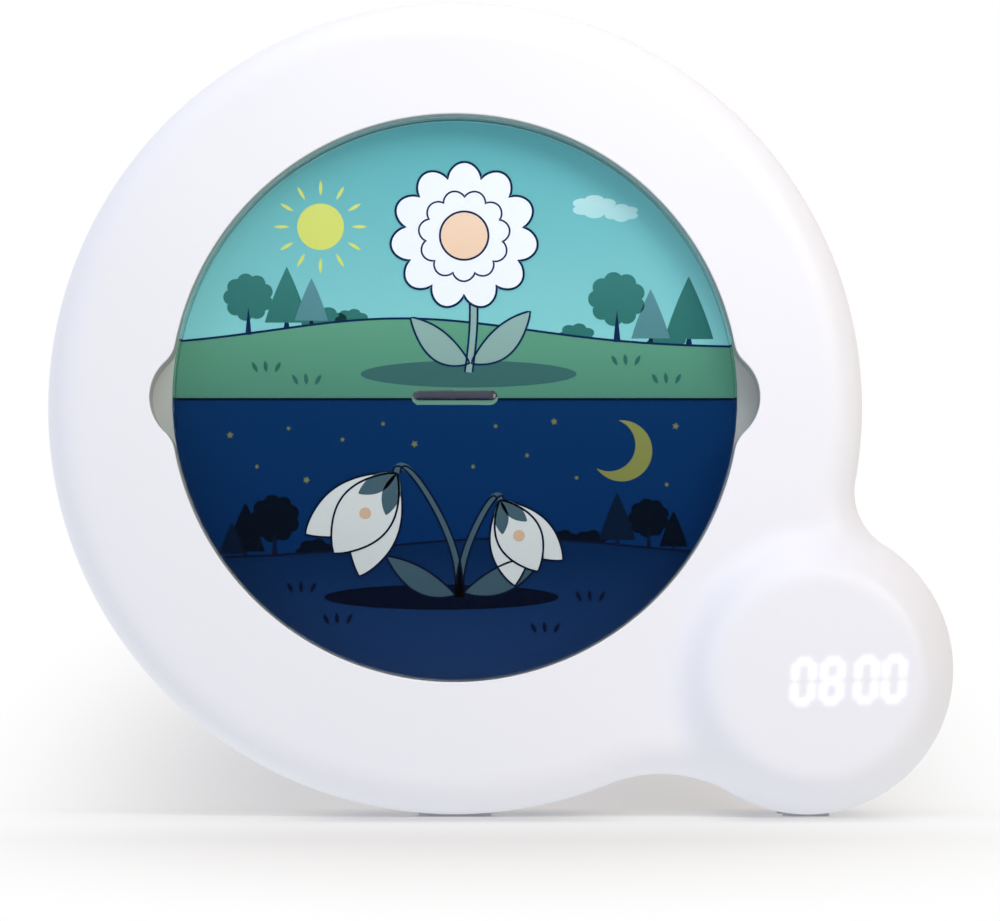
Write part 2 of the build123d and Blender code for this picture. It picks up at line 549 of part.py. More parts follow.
with BuildPart() as rear_shell:
    outline_prism(REAR_FACE, PARTING - SHADOW_GAP, 0)
    fillet(rear_rim(rear_shell, REAR_FACE), REAR_EDGE_RADIUS)
    outline_prism(PARTING - SHADOW_GAP, PARTING, SHADOW_DEPTH)
    add(rear_hollow.part, mode=Mode.SUBTRACT)
    # tongue that centres the front shell
    outline_prism(PARTING - TONGUE_ROOT, PARTING, WALL - SHADOW_DEPTH)
    outline_prism(PARTING, PARTING + TONGUE_LENGTH, WALL + TONGUE_GAP)
    outline_prism(PARTING - TONGUE_ROOT, PARTING + TONGUE_LENGTH,
                  WALL + TONGUE_GAP + TONGUE_THICKNESS, mode=Mode.SUBTRACT)
    # bosses, battery bay walls and the thicker frame round the door
    for place in HOUSING_SCREW_PLACES:
        disc(REAR_INNER - WALL / 2, PARTING, BOSS_RADIUS + TONGUE_THICKNESS, *place)
    boss_ribs(REAR_INNER, PARTING - TONGUE_ROOT)
    slab(REAR_INNER - WALL / 2, BAY_FLOOR + BAY_WALL, BAY_LENGTH + 2 * BAY_WALL,
         BAY_HEIGHT + 2 * BAY_WALL, RING_X, BAY_Z)
    slab(REAR_INNER - WALL / 2, REAR_FACE + BAY_RIM, BAY_EDGE_LENGTH, BAY_EDGE_HEIGHT,
         RING_X, BAY_Z, DOOR_CORNER)
    disc(REAR_INNER - WALL / 2, LUG_SEAT + LUG_BOSS, LUG_RADIUS + WALL, RING_X, LUG_Z)
    slab(PANEL_FACE, PANEL_INNER, PANEL_LENGTH + 2 * WALL, PANEL_HEIGHT + 2 * WALL,
         RING_X, PANEL_Z, DOOR_CORNER)
    slab(REAR_INNER - WALL / 2, REAR_INNER + HANGER_POCKET + HANGER_WALL,
         2 * (HANGER_HEAD_RADIUS + HANGER_WALL),
         HANGER_RISE + HANGER_SLOT / 2 + HANGER_HEAD_RADIUS + 2 * HANGER_WALL, RING_X,
         HANGER_Z + (HANGER_RISE + HANGER_SLOT / 2 - HANGER_HEAD_RADIUS) / 2)
    # cradle for the power jack's board
    slab(REAR_INNER - WALL / 2, REAR_INNER + JACK_LENGTH,
         JACK_BOARD_WIDTH + 2 * CRADLE_WALL, JACK_BOARD_THICKNESS + CRADLE_WALL * 2, JACK_X,
         JACK_BOARD_Z)
    slab(REAR_INNER, REAR_INNER + JACK_LENGTH, JACK_BOARD_WIDTH,
         JACK_BOARD_THICKNESS + CRADLE_WALL, JACK_X,
         JACK_BOARD_Z + CRADLE_WALL / 2,
         mode=Mode.SUBTRACT)
    for place in SPEAKER_SCREW_PLACES:
        disc(REAR_INNER - WALL / 2, REAR_INNER + SPEAKER_FLANGE, SMALL_BOSS_RADIUS, *place)
    disc(REAR_INNER, REAR_INNER + SPEAKER_FLANGE, SPEAKER_RADIUS + SHEET_GAP, SPEAKER_X,
         SPEAKER_Z, mode=Mode.SUBTRACT)
    # battery bay, door seat, hook slots and lug seat
    slab(REAR_FACE, BAY_FLOOR, BAY_LENGTH, BAY_HEIGHT, RING_X, BAY_Z, mode=Mode.SUBTRACT)
    for z in CELL_Z[1:]:
        slab(BAY_FLOOR - CELL_RIB_HEIGHT, BAY_FLOOR, BAY_LENGTH, CELL_RIB, RING_X,
             z - CELL_PITCH / 2)
    slab(REAR_FACE, DOOR_INNER, DOOR_LENGTH + 2 * DOOR_GAP, DOOR_HEIGHT + 2 * DOOR_GAP,
         RING_X, BAY_Z, DOOR_CORNER, mode=Mode.SUBTRACT)
    disc(REAR_FACE, LUG_SEAT, LUG_RADIUS + DOOR_GAP, RING_X, LUG_Z, mode=Mode.SUBTRACT)
    disc(LUG_SEAT, LUG_SEAT + LUG_SCREW_BITE + TIP_ROOM, SCREW_RADIUS + LUG_HOLE_GAP,
         RING_X, LUG_Z, mode=Mode.SUBTRACT)
    for x in HOOK_PLACES:
        slab(DOOR_INNER - DOOR_GAP, REAR_FACE + BAY_RIM, HOOK_WIDTH + 2 * DOOR_GAP,
             DOOR_LEDGE + HOOK_REACH + HOOK_SWING, x,
             HINGE_Z - DOOR_LEDGE / 2 + (HOOK_REACH + HOOK_SWING) / 2, mode=Mode.SUBTRACT)
    # control panel
    slab(REAR_FACE, PANEL_FACE, PANEL_LENGTH, PANEL_HEIGHT, RING_X, PANEL_Z, DOOR_CORNER,
         mode=Mode.SUBTRACT)
    for x in BUTTON_X:
        disc(PANEL_FACE, PANEL_INNER, BUTTON_RADIUS + BUTTON_GAP, x, PANEL_Z,
             mode=Mode.SUBTRACT)
    slab(PANEL_FACE, PANEL_INNER, SLIDER_WIDTH + 2 * SLIDER_TRAVEL + 2 * RUNNING_GAP,
         SLIDER_HEIGHT + 2 * RUNNING_GAP, SLIDER_X, PANEL_Z, mode=Mode.SUBTRACT)
    # screw holes
    for place in HOUSING_SCREW_PLACES:
        disc(REAR_FACE, PARTING, SCREW_RADIUS + SCREW_PASS_GAP, *place, mode=Mode.SUBTRACT)
        disc(REAR_FACE, COUNTERBORE_SEAT, HEAD_RADIUS + COUNTERBORE_GAP, *place,
             mode=Mode.SUBTRACT)
    for place in SPEAKER_SCREW_PLACES:
        disc(REAR_FACE + SPEAKER_HOLE_FLOOR, REAR_INNER + SPEAKER_FLANGE,
             SMALL_SCREW_RADIUS + SCREW_HOLE_GAP, *place, mode=Mode.SUBTRACT)
    # speaker grille: parallel slots that fill a circle
    for row in range(GRILLE_COUNT):
        rise = (row - (GRILLE_COUNT - 1) / 2) * GRILLE_PITCH
        with BuildSketch(front(REAR_FACE, SPEAKER_X, SPEAKER_Z + rise)):
            SlotOverall(2 * math.sqrt(GRILLE_RADIUS**2 - rise**2), GRILLE_SLOT)
        extrude(amount=WALL, mode=Mode.SUBTRACT)
    disc(REAR_FACE, REAR_INNER, JACK_OPENING, JACK_X, JACK_Z, mode=Mode.SUBTRACT)
    # keyhole for hanging on a wall, closed inside by a pocket
    disc(REAR_FACE, REAR_INNER + HANGER_POCKET, HANGER_HEAD_RADIUS, RING_X, HANGER_Z,
         mode=Mode.SUBTRACT)
    slab(REAR_FACE, REAR_INNER, HANGER_SLOT, HANGER_RISE, RING_X, HANGER_Z + HANGER_RISE / 2,
         mode=Mode.SUBTRACT)
    disc(REAR_FACE, REAR_INNER, HANGER_SLOT / 2, RING_X, HANGER_Z + HANGER_RISE,
         mode=Mode.SUBTRACT)
    slab(REAR_INNER, REAR_INNER + HANGER_POCKET, 2 * HANGER_HEAD_RADIUS,
         HANGER_RISE + HANGER_SLOT / 2, RING_X,
         HANGER_Z + (HANGER_RISE + HANGER_SLOT / 2) / 2, mode=Mode.SUBTRACT)
    foot_blocks(REAR_FOOT_DEPTH, FOOT_GAP, mode=Mode.SUBTRACT)
save(rear_shell.part, "rear_shell")


# ---------------------------------------------------------------- window pieces
with BuildPart() as clear_cover:
    disc(COVER_FRONT - COVER_PANE, COVER_FRONT, COVER_RADIUS, RING_X, WINDOW_Z)
    disc(CARD_FRONT + RUNNING_GAP, COVER_FRONT - COVER_PANE, COVER_RADIUS, RING_X, WINDOW_Z)
    disc(CARD_FRONT + RUNNING_GAP, COVER_FRONT - COVER_PANE, COVER_RADIUS - COVER_WALL,
         RING_X, WINDOW_Z, mode=Mode.SUBTRACT)
    fillet(clear_cover.edges().sort_by(Axis.Y)[0], COVER_EDGE_RADIUS)
    with BuildSketch(front(COVER_FRONT, RING_X, WINDOW_Z)):
        SlotOverall(GRIP_LENGTH, GRIP_HEIGHT)
    extrude(amount=GRIP_RISE)
    fillet(clear_cover.faces().sort_by(Axis.Y)[0].edges(), COVER_EDGE_RADIUS)
save(clear_cover.part, "clear_cover")

with BuildPart() as picture_card:
    disc(SEAT, CARD_FRONT, COVER_RADIUS - COVER_WALL / 2, RING_X, WINDOW_Z)
save(picture_card.part, "picture_card")

with BuildPart() as picture_frame:
    disc(FRAME_BACK, SEAT, FRAME_RADIUS, RING_X, WINDOW_Z)
    for place in EAR_PLACES:
        disc(FRAME_BACK, SEAT, EAR_RADIUS, *place)
    disc(FRAME_BACK, SEAT, FRAME_HOLE_RADIUS, RING_X, WINDOW_Z, mode=Mode.SUBTRACT)
    slab(FRAME_BACK, SEAT, 2 * FRAME_HOLE_RADIUS + OVERRUN, CROSSBAR, RING_X, WINDOW_Z)
    for place in EAR_PLACES:
        disc(FRAME_BACK, SEAT, SCREW_RADIUS + SCREW_PASS_GAP, *place, mode=Mode.SUBTRACT)
save(picture_frame.part, "picture_frame")

for label, side in (("day_diffuser", 1), ("night_diffuser", -1)):
    with BuildPart() as diffuser:
        disc(FRAME_BACK, SEAT, FRAME_HOLE_RADIUS - SHEET_GAP, RING_X, WINDOW_Z)
        slab(FRAME_BACK, SEAT, 2 * FRAME_RADIUS, FRAME_RADIUS,
             RING_X, WINDOW_Z - side * (FRAME_RADIUS / 2 - CROSSBAR / 2 - SHEET_GAP),
             mode=Mode.SUBTRACT)
    save(diffuser.part, label)

with BuildPart() as light_box:
    tray_plane = Plane(origin=(RING_X, 0, WINDOW_Z), x_dir=(1, 0, 0), z_dir=(0, 0, -1))
    with BuildSketch(tray_plane):
        with BuildLine():
            Polyline((0, TRAY_BACK), (TRAY_BACK_RADIUS + TRAY_WALL, TRAY_BACK),
                     (TRAY_FRONT_RADIUS + TRAY_WALL, FRAME_BACK - TRAY_WALL),
                     (FRAME_RADIUS, FRAME_BACK - TRAY_WALL), (FRAME_RADIUS, FRAME_BACK),
                     (TRAY_FRONT_RADIUS, FRAME_BACK), (TRAY_BACK_RADIUS, TRAY_FLOOR),
                     (0, TRAY_FLOOR), close=True)
        make_face()
    revolve(axis=Axis((RING_X, 0, WINDOW_Z), (0, 1, 0)))
    slab(TRAY_FLOOR, FRAME_BACK, 2 * TRAY_BACK_RADIUS + OVERRUN, TRAY_WALL, RING_X, WINDOW_Z)
    for place in EAR_PLACES:
        disc(FRAME_BACK - TRAY_WALL, FRAME_BACK, EAR_RADIUS, *place)
    for place in BOARD_POSTS:
        disc(BOARD_FRONT, TRAY_BACK, SMALL_BOSS_RADIUS, *place)
    for place in EAR_PLACES:
        disc(FRAME_BACK - TRAY_WALL, FRAME_BACK, SCREW_RADIUS + SCREW_PASS_GAP, *place,
             mode=Mode.SUBTRACT)
    for place in BOARD_POSTS:
        disc(BOARD_FRONT, TRAY_BACK, SMALL_SCREW_RADIUS + SCREW_HOLE_GAP, *place,
             mode=Mode.SUBTRACT)
    for place in STAKE_PLACES:
        disc(TRAY_FLOOR, TRAY_FLOOR + BOARD_THICKNESS, STAKE_RADIUS, *place)
        disc(TRAY_FLOOR + BOARD_THICKNESS, TRAY_FLOOR + BOARD_THICKNESS + STAKE_HEAD,
             STAKE_RADIUS + STAKE_HEAD, *place)
save(light_box.part, "light_box")

for label, side in (("day", 1), ("night", -1)):
    row_z = WINDOW_Z + side * LED_ROW_RISE
    with BuildPart() as led_board:
        slab(TRAY_FLOOR, TRAY_FLOOR + BOARD_THICKNESS, LED_BOARD_LENGTH, LED_BOARD_HEIGHT,
             RING_X, row_z)
        for place in STAKE_PLACES:
            if place[1] == row_z:
                disc(TRAY_FLOOR, TRAY_FLOOR + BOARD_THICKNESS, STAKE_RADIUS + SCREW_HOLE_GAP,
                     *place, mode=Mode.SUBTRACT)
    save(led_board.part, f"{label}_led_board")
    with BuildPart() as leds:
        for i in range(LED_COUNT):
            slab(TRAY_FLOOR + BOARD_THICKNESS, TRAY_FLOOR + BOARD_THICKNESS + LED_THICKNESS,
                 LED_LENGTH, LED_HEIGHT, RING_X + (i - (LED_COUNT - 1) / 2) * LED_PITCH, row_z)
    save(leds.part, f"{label}_leds")


# ---------------------------------------------------------------- clock display
with BuildPart() as display_module:
    slab(DISPLAY_BACK, DISPLAY_FRONT, DISPLAY_LENGTH, DISPLAY_HEIGHT, DISPLAY_X, PLATEAU_Z)
save(display_module.part, "display_module")

with BuildPart() as display_film:
    slab(DISPLAY_FRONT, DISPLAY_FRONT + FILM_THICKNESS, DISPLAY_LENGTH, DISPLAY_HEIGHT,
         DISPLAY_X, PLATEAU_Z)
save(display_film.part, "display_film")

with BuildPart() as display_board:
    disc(DISPLAY_BACK - BOARD_THICKNESS, DISPLAY_BACK, DISPLAY_BOARD_RADIUS, PLATEAU_X, PLATEAU_Z)
    for place in DOME_SCREW_PLACES:
        disc(DISPLAY_BACK - BOARD_THICKNESS, DISPLAY_BACK, BOSS_RADIUS + POST_CLEARANCE, *place,
             mode=Mode.SUBTRACT)
    for place in POST_PLACES:
        disc(DISPLAY_BACK - BOARD_THICKNESS, DISPLAY_BACK,
             SMALL_SCREW_RADIUS + SCREW_HOLE_GAP, *place, mode=Mode.SUBTRACT)
save(display_board.part, "display_board")


# ---------------------------------------------------------------- main board
with BuildPart() as main_board:
    slab(BOARD_BACK, BOARD_FRONT, BOARD_LENGTH, BOARD_HEIGHT, RING_X, BOARD_Z, BOARD_CORNER)
    for place in BOARD_POSTS:
        disc(BOARD_BACK, BOARD_FRONT, SMALL_SCREW_RADIUS + SCREW_HOLE_GAP, *place,
             mode=Mode.SUBTRACT)
save(main_board.part, "main_board")

with BuildPart() as board_components:
    slab(BOARD_BACK - CHIP_THICKNESS, BOARD_BACK, CHIP_SIDE, CHIP_SIDE, RING_X, COMPONENT_Z)
    for side in (-1, 1):
        disc(BOARD_BACK - CAPACITOR_LENGTH, BOARD_BACK, CAPACITOR_RADIUS,
             RING_X + side * CAPACITOR_SHIFT, COMPONENT_Z)
        slab(BOARD_BACK - CONNECTOR_THICKNESS, BOARD_BACK, CONNECTOR_LENGTH, CONNECTOR_HEIGHT,
             RING_X + side * CONNECTOR_SHIFT, COMPONENT_Z)
save(board_components.part, "board_components")

with BuildPart() as tact_switches:
    for x in BUTTON_X:
        slab(SWITCH_TOP, BOARD_BACK, SWITCH_SIDE, SWITCH_SIDE, x, PANEL_Z)
        disc(SWITCH_TOP - SWITCH_PLUNGER, SWITCH_TOP, SWITCH_PLUNGER_RADIUS, x, PANEL_Z)
save(tact_switches.part, "tact_switches")

with BuildPart() as mode_switch:
    slab(SWITCH_TOP, BOARD_BACK, SLIDER_BODY_LENGTH, SLIDER_BODY_HEIGHT, SLIDER_X, PANEL_Z)
save(mode_switch.part, "mode_switch")

for label, x in zip(BUTTON_NAMES, BUTTON_X):
    with BuildPart() as button:
        disc(PANEL_FACE - BUTTON_PROUD, FLANGE_REAR, BUTTON_RADIUS, x, PANEL_Z)
        fillet(button.edges().sort_by(Axis.Y)[-1], CAP_EDGE_RADIUS)
        disc(FLANGE_REAR, FLANGE_REAR + FLANGE_THICKNESS, BUTTON_RADIUS + FLANGE_THICKNESS, x,
             PANEL_Z)
        disc(FLANGE_REAR + FLANGE_THICKNESS, STEM_END, STEM_RADIUS, x, PANEL_Z)
    save(button.part, label)

with BuildPart() as mode_slider:
    slab(PANEL_FACE - SLIDER_PROUD, FLANGE_REAR, SLIDER_WIDTH, SLIDER_HEIGHT, SLIDER_X, PANEL_Z)
    slab(FLANGE_REAR, FLANGE_REAR + FLANGE_THICKNESS,
         SLIDER_WIDTH + 2 * SLIDER_TRAVEL + 4 * RUNNING_GAP, SLIDER_HEIGHT + 2 * FLANGE_THICKNESS,
         SLIDER_X, PANEL_Z)
    slab(FLANGE_REAR + FLANGE_THICKNESS, SWITCH_TOP - RUNNING_GAP, SLIDER_HEIGHT,
         SLIDER_HEIGHT, SLIDER_X, PANEL_Z)
save(mode_slider.part, "mode_slider")


# ---------------------------------------------------------------- speaker
speaker_plane = Plane(origin=(SPEAKER_X, 0, SPEAKER_Z), x_dir=(1, 0, 0), z_dir=(0, 0, -1))
speaker_axis = Axis((SPEAKER_X, 0, SPEAKER_Z), (0, 1, 0))
basket_back = REAR_INNER + BASKET_DEPTH
basket_floor = basket_back - BASKET_WALL
cone_seat = REAR_INNER + CONE_ROOM + CONE_THICKNESS
surround_outer = BASKET_RADIUS - BASKET_WALL
surround_inner = surround_outer - SURROUND_WIDTH

with BuildPart() as speaker_basket:
    with BuildSketch(speaker_plane):
        with BuildLine():
            Polyline((surround_outer, REAR_INNER), (SPEAKER_RADIUS, REAR_INNER),
                     (SPEAKER_RADIUS, REAR_INNER + SPEAKER_FLANGE),
                     (BASKET_RADIUS, REAR_INNER + SPEAKER_FLANGE),
                     (MAGNET_RADIUS + BASKET_WALL, basket_back), (0, basket_back),
                     (0, basket_floor), (MAGNET_RADIUS, basket_floor),
                     (surround_outer - SURROUND_WIDTH / 2, cone_seat),
                     (surround_outer, cone_seat), close=True)
        make_face()
    revolve(axis=speaker_axis)
save(speaker_basket.part, "speaker_basket")

with BuildPart() as speaker_magnet:
    disc(basket_back, basket_back + MAGNET_THICKNESS, MAGNET_RADIUS, SPEAKER_X, SPEAKER_Z)
save(speaker_magnet.part, "speaker_magnet")

with BuildPart() as speaker_cone:
    cone_front = basket_floor - CONE_ROOM
    with BuildSketch(speaker_plane):
        with BuildLine():
            Polyline((0, cone_front - CONE_THICKNESS), (CAP_RADIUS, cone_front - CONE_THICKNESS),
                     (surround_inner, cone_seat - CONE_THICKNESS),
                     (surround_outer - SCREW_HOLE_GAP, cone_seat - CONE_THICKNESS),
                     (surround_outer - SCREW_HOLE_GAP, cone_seat),
                     (surround_inner + CONE_THICKNESS / 2, cone_seat),
                     (CAP_RADIUS + CONE_THICKNESS / 2, cone_front), (0, cone_front), close=True)
        make_face()
    revolve(axis=speaker_axis)
save(speaker_cone.part, "speaker_cone")


# ---------------------------------------------------------------- power jack
with BuildPart() as power_jack:
    slab(REAR_INNER, REAR_INNER + JACK_LENGTH, JACK_WIDTH, JACK_HEIGHT, JACK_X, JACK_Z)
    bore_end = REAR_INNER + JACK_LENGTH - JACK_BACK_WALL
    disc(REAR_INNER, bore_end, JACK_BORE, JACK_X, JACK_Z, mode=Mode.SUBTRACT)
    disc(REAR_INNER + JACK_PIN_SINK, bore_end, JACK_PIN_RADIUS, JACK_X, JACK_Z)
save(power_jack.part, "power_jack")

with BuildPart() as power_board:
    slab(REAR_INNER, REAR_INNER + JACK_LENGTH, JACK_BOARD_WIDTH, JACK_BOARD_THICKNESS, JACK_X,
         JACK_BOARD_Z)
save(power_board.part, "power_board")


# ---------------------------------------------------------------- batteries and their door
def cell_nub_x(turn):
    """End of the cell's nub, where it meets its contact plate."""
    return RING_X + turn * (BAY_LENGTH / 2 - CONTACT_THICKNESS)


for label, z, turn in zip(CELL_NAMES, CELL_Z, CELL_TURNS):
    shoulder_x = cell_nub_x(turn) - turn * CELL_NUB
    with BuildPart() as cell:
        with BuildSketch(Plane(origin=(shoulder_x, -CELL_DEPTH, z), z_dir=(-turn, 0, 0))):
            Circle(CELL_RADIUS)
        extrude(amount=CELL_LENGTH)
        chamfer(cell.edges().filter_by(GeomType.CIRCLE), CELL_EDGE)
        with BuildSketch(Plane(origin=(shoulder_x, -CELL_DEPTH, z), z_dir=(turn, 0, 0))):
            Circle(CELL_NUB_RADIUS)
        extrude(amount=CELL_NUB)
    save(cell.part, label)

with BuildPart() as battery_contacts:
    for z in CELL_Z:
        for x, inwards in ((BAY_LEFT, 1), (BAY_RIGHT, -1)):
            with BuildSketch(Plane(origin=(x, -CELL_DEPTH, z), z_dir=(inwards, 0, 0))):
                Rectangle(CONTACT_SIDE, CONTACT_SIDE)
            extrude(amount=CONTACT_THICKNESS)
save(battery_contacts.part, "battery_contacts")

with BuildPart() as battery_springs:
    lean = -math.degrees(math.atan((SPRING_BASE_RADIUS - SPRING_TIP_RADIUS) / SPRING_CLIMB))
    base_reach = BAY_LENGTH / 2 - CONTACT_THICKNESS - SPRING_WIRE_RADIUS - SPRING_GAP
    for z, turn in zip(CELL_Z, CELL_TURNS):
        coil = Helix(SPRING_CLIMB / SPRING_TURNS, SPRING_CLIMB, SPRING_BASE_RADIUS,
                     center=(RING_X - turn * base_reach, -CELL_DEPTH, z),
                     direction=(turn, 0, 0), cone_angle=lean)
        with BuildSketch(Plane(origin=coil @ 0, z_dir=coil % 0)) as wire:
            RegularPolygon(SPRING_WIRE_RADIUS, SPRING_WIRE_SIDES)
        sweep(wire.sketch, path=coil, is_frenet=True)
save(battery_springs.part, "battery_springs")

with BuildPart() as battery_door:
    slab(REAR_FACE, DOOR_INNER, DOOR_LENGTH, DOOR_HEIGHT, RING_X, BAY_Z, DOOR_CORNER)
    disc(REAR_FACE, LUG_SEAT, LUG_RADIUS, RING_X, LUG_Z)
    for x in HOOK_PLACES:
        slab(DOOR_INNER, DOOR_INNER + HOOK_THICKNESS, HOOK_WIDTH, 2 * HOOK_REACH, x, HINGE_Z)
    disc(REAR_FACE, REAR_FACE + HEAD_HEIGHT, HEAD_RADIUS + SCREW_PASS_GAP, RING_X, LUG_Z,
         mode=Mode.SUBTRACT)
    disc(REAR_FACE, LUG_SEAT, SCREW_RADIUS + SCREW_HOLE_GAP, RING_X, LUG_Z, mode=Mode.SUBTRACT)
save(battery_door.part, "battery_door")


# ---------------------------------------------------------------- screws and feet
def screw(head_depth, tip_depth, radius, head_radius, head_height, x, z):
    """Pan head screw along the depth: its head behind head_depth, its shank to tip_depth."""
    forwards = math.copysign(1, tip_depth - head_depth)
    disc(head_depth - forwards * head_height, head_depth, head_radius, x, z)
    disc(head_depth, tip_depth, radius, x, z)


with BuildPart() as door_screw:
    screw(REAR_FACE + HEAD_HEIGHT, LUG_SEAT + LUG_SCREW_BITE, SCREW_RADIUS, HEAD_RADIUS,
          HEAD_HEIGHT, RING_X, LUG_Z)
save(door_screw.part, "door_screw")

with BuildPart() as housing_screws:
    for place in HOUSING_SCREW_PLACES:
        screw(COUNTERBORE_SEAT, PARTING + SCREW_BITE, SCREW_RADIUS, HEAD_RADIUS, HEAD_HEIGHT,
              *place)
save(housing_screws.part, "housing_screws")

with BuildPart() as light_box_screws:
    for place in EAR_PLACES:
        screw(FRAME_BACK - TRAY_WALL, SEAT + EAR_SCREW_BITE, SCREW_RADIUS, HEAD_RADIUS,
              HEAD_HEIGHT, *place)
save(light_box_screws.part, "light_box_screws")

with BuildPart() as main_board_screws:
    for place in BOARD_POSTS:
        screw(BOARD_BACK, BOARD_FRONT + BOARD_SCREW_BITE, SMALL_SCREW_RADIUS,
              SMALL_HEAD_RADIUS, SMALL_HEAD_HEIGHT, *place)
save(main_board_screws.part, "main_board_screws")

with BuildPart() as display_screws:
    for place in POST_PLACES:
        screw(DISPLAY_BACK - BOARD_THICKNESS, DISPLAY_BACK + POST_SCREW_BITE,
              SMALL_SCREW_RADIUS, SMALL_HEAD_RADIUS, SMALL_HEAD_HEIGHT, *place)
save(display_screws.part, "display_screws")

with BuildPart() as speaker_screws:
    for place in SPEAKER_SCREW_PLACES:
        screw(REAR_INNER + SPEAKER_FLANGE, REAR_FACE + WALL / 2, SMALL_SCREW_RADIUS,
              CLAMP_HEAD_RADIUS, SMALL_HEAD_HEIGHT, *place)
save(speaker_screws.part, "speaker_screws")

for label, depth in (("front_feet", FRONT_FOOT_DEPTH), ("rear_feet", REAR_FOOT_DEPTH)):
    with BuildPart() as feet:
        foot_blocks(depth, 0)
    save(feet.part, label)
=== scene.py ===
"""Look of a day and night alarm clock for children.

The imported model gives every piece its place; this script gives them their finish, the smooth
skin of the front shell, the printed picture and the lit digits.  X is right, Y is back, Z is up,
all in metres.  Depths are counted forwards, so a depth d lies at Y = -d.
"""

import math

import bmesh
import bpy
import numpy as np
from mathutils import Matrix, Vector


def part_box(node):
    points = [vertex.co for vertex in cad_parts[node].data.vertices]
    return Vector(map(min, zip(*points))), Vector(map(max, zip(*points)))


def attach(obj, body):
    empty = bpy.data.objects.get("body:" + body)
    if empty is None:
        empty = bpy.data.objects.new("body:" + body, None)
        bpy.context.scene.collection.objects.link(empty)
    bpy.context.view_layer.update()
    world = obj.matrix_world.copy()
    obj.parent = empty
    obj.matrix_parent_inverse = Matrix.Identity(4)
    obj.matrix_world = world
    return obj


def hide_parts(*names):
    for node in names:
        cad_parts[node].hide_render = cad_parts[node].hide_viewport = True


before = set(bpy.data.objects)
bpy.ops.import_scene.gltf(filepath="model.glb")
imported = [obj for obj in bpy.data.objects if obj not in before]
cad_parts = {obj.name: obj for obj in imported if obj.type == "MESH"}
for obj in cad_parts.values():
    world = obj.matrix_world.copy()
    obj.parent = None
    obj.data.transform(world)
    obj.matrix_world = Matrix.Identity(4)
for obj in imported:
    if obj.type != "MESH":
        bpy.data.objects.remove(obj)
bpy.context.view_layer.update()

MM = 0.001

# ---------------------------------------------------------------- sizes
DOME_RADIUS = 32.3 * MM
UPPER_WEB_RADIUS = 13.8 * MM  # hollow curves that join ring and dome
LOWER_WEB_RADIUS = 31.0 * MM
WALL = 2.2 * MM
SHOULDER = 9.0 * MM  # rounding of the front edge
RING_FACE = 17.0 * MM  # depth of the ring's face
PLATEAU_RADIUS = 19.5 * MM  # flat clock face on the dome
PLATEAU_SHIFT = complex(2.0, -1.8) * MM
SWELL_WIDTH = 15.5 * MM  # soft slope round the clock face
LIP = 0.35 * MM  # rounding of the window's edge
COVER_GAP = 0.3 * MM
COVER_WALL = 0.5 * MM  # collar of the clear cover
COVER_PANE = 1.6 * MM
COVER_ROUND = 0.3 * MM
GRIP = (19.0 * MM, 3.2 * MM)  # clear bar that lifts the cover
GRIP_RISE = 1.6 * MM
GRIP_SWELL = 0.6 * MM  # height of its rounded front
GRIP_LEAN = 0.5 * MM  # how far its crest lies below its middle
CREASE = 0.04 * MM  # keeps a flat face flat right up to a rounded edge
SKIRT = 1.8 * MM  # thickness of the collar behind the window's edge
SHADE_SHEET = 0.3 * MM  # thickness of a darker sheet of painted shade over that collar
SCOOP_RADIUS = 10.5 * MM  # finger scoops left and right of the window
SCOOP_REACH = 4.5 * MM
SCOOP_BLEND = 7.0 * MM
PRINT_RADIUS = 62.4 * MM
PRINT_STEP = 0.025 * MM  # from one printed layer to the next
PATCH_RISE = 0.02 * MM  # lit skin over the clock face
DIGIT_GLOW = 0.2
DAY_GLOW = 0.2  # light that comes through the day picture from the box behind it
MARK_WIDTH = 0.42  # printed lines on the keys, in millimetres
MARK_STEP = 0.01 * MM  # from one line printed on a key to the next
OUTLINE_POINTS = (460, 30, 150, 26)  # along the ring, lower web, dome and upper web
SHOULDER_ROWS = 14  # rows of points across each stretch of the front shell
FACE_ROWS = 56
LIP_ROWS = 10
INSIDE_ROWS = (12, 6)
WINDOW_POINTS = 720

shell_low, shell_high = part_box("front_shell")
RING_RADIUS = (shell_high.z - shell_low.z) / 2
RING = complex(shell_low.x + RING_RADIUS, shell_low.z + RING_RADIUS)
DOME = complex(shell_high.x - DOME_RADIUS, shell_low.z + DOME_RADIUS)
PLATEAU = DOME + PLATEAU_SHIFT
PARTING = -shell_high.y
DOME_FACE = -shell_low.y - PATCH_RISE
cover_low, cover_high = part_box("clear_cover")
WINDOW = complex(cover_low.x + cover_high.x, cover_low.z + cover_high.z) / 2
WINDOW_RADIUS = (cover_high.x - cover_low.x) / 2 + COVER_GAP
SEAT = -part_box("picture_frame")[0].y
CARD_FACE = -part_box("picture_card")[0].y


# ---------------------------------------------------------------- meshes
def grid_faces(rows, columns, around=False, along=False):
    """Quads between neighbouring rows and columns; around closes the columns, along the rows."""
    row = np.arange(rows if along else rows - 1)
    column = np.arange(columns if around else columns - 1)
    r, c = (a.ravel() for a in np.meshgrid(row, column, indexing="ij"))
    next_row, next_column = (r + 1) % rows, (c + 1) % columns
    corners = [r * columns + c, r * columns + next_column,
               next_row * columns + next_column, next_row * columns + c]
    return np.stack(corners, axis=1)


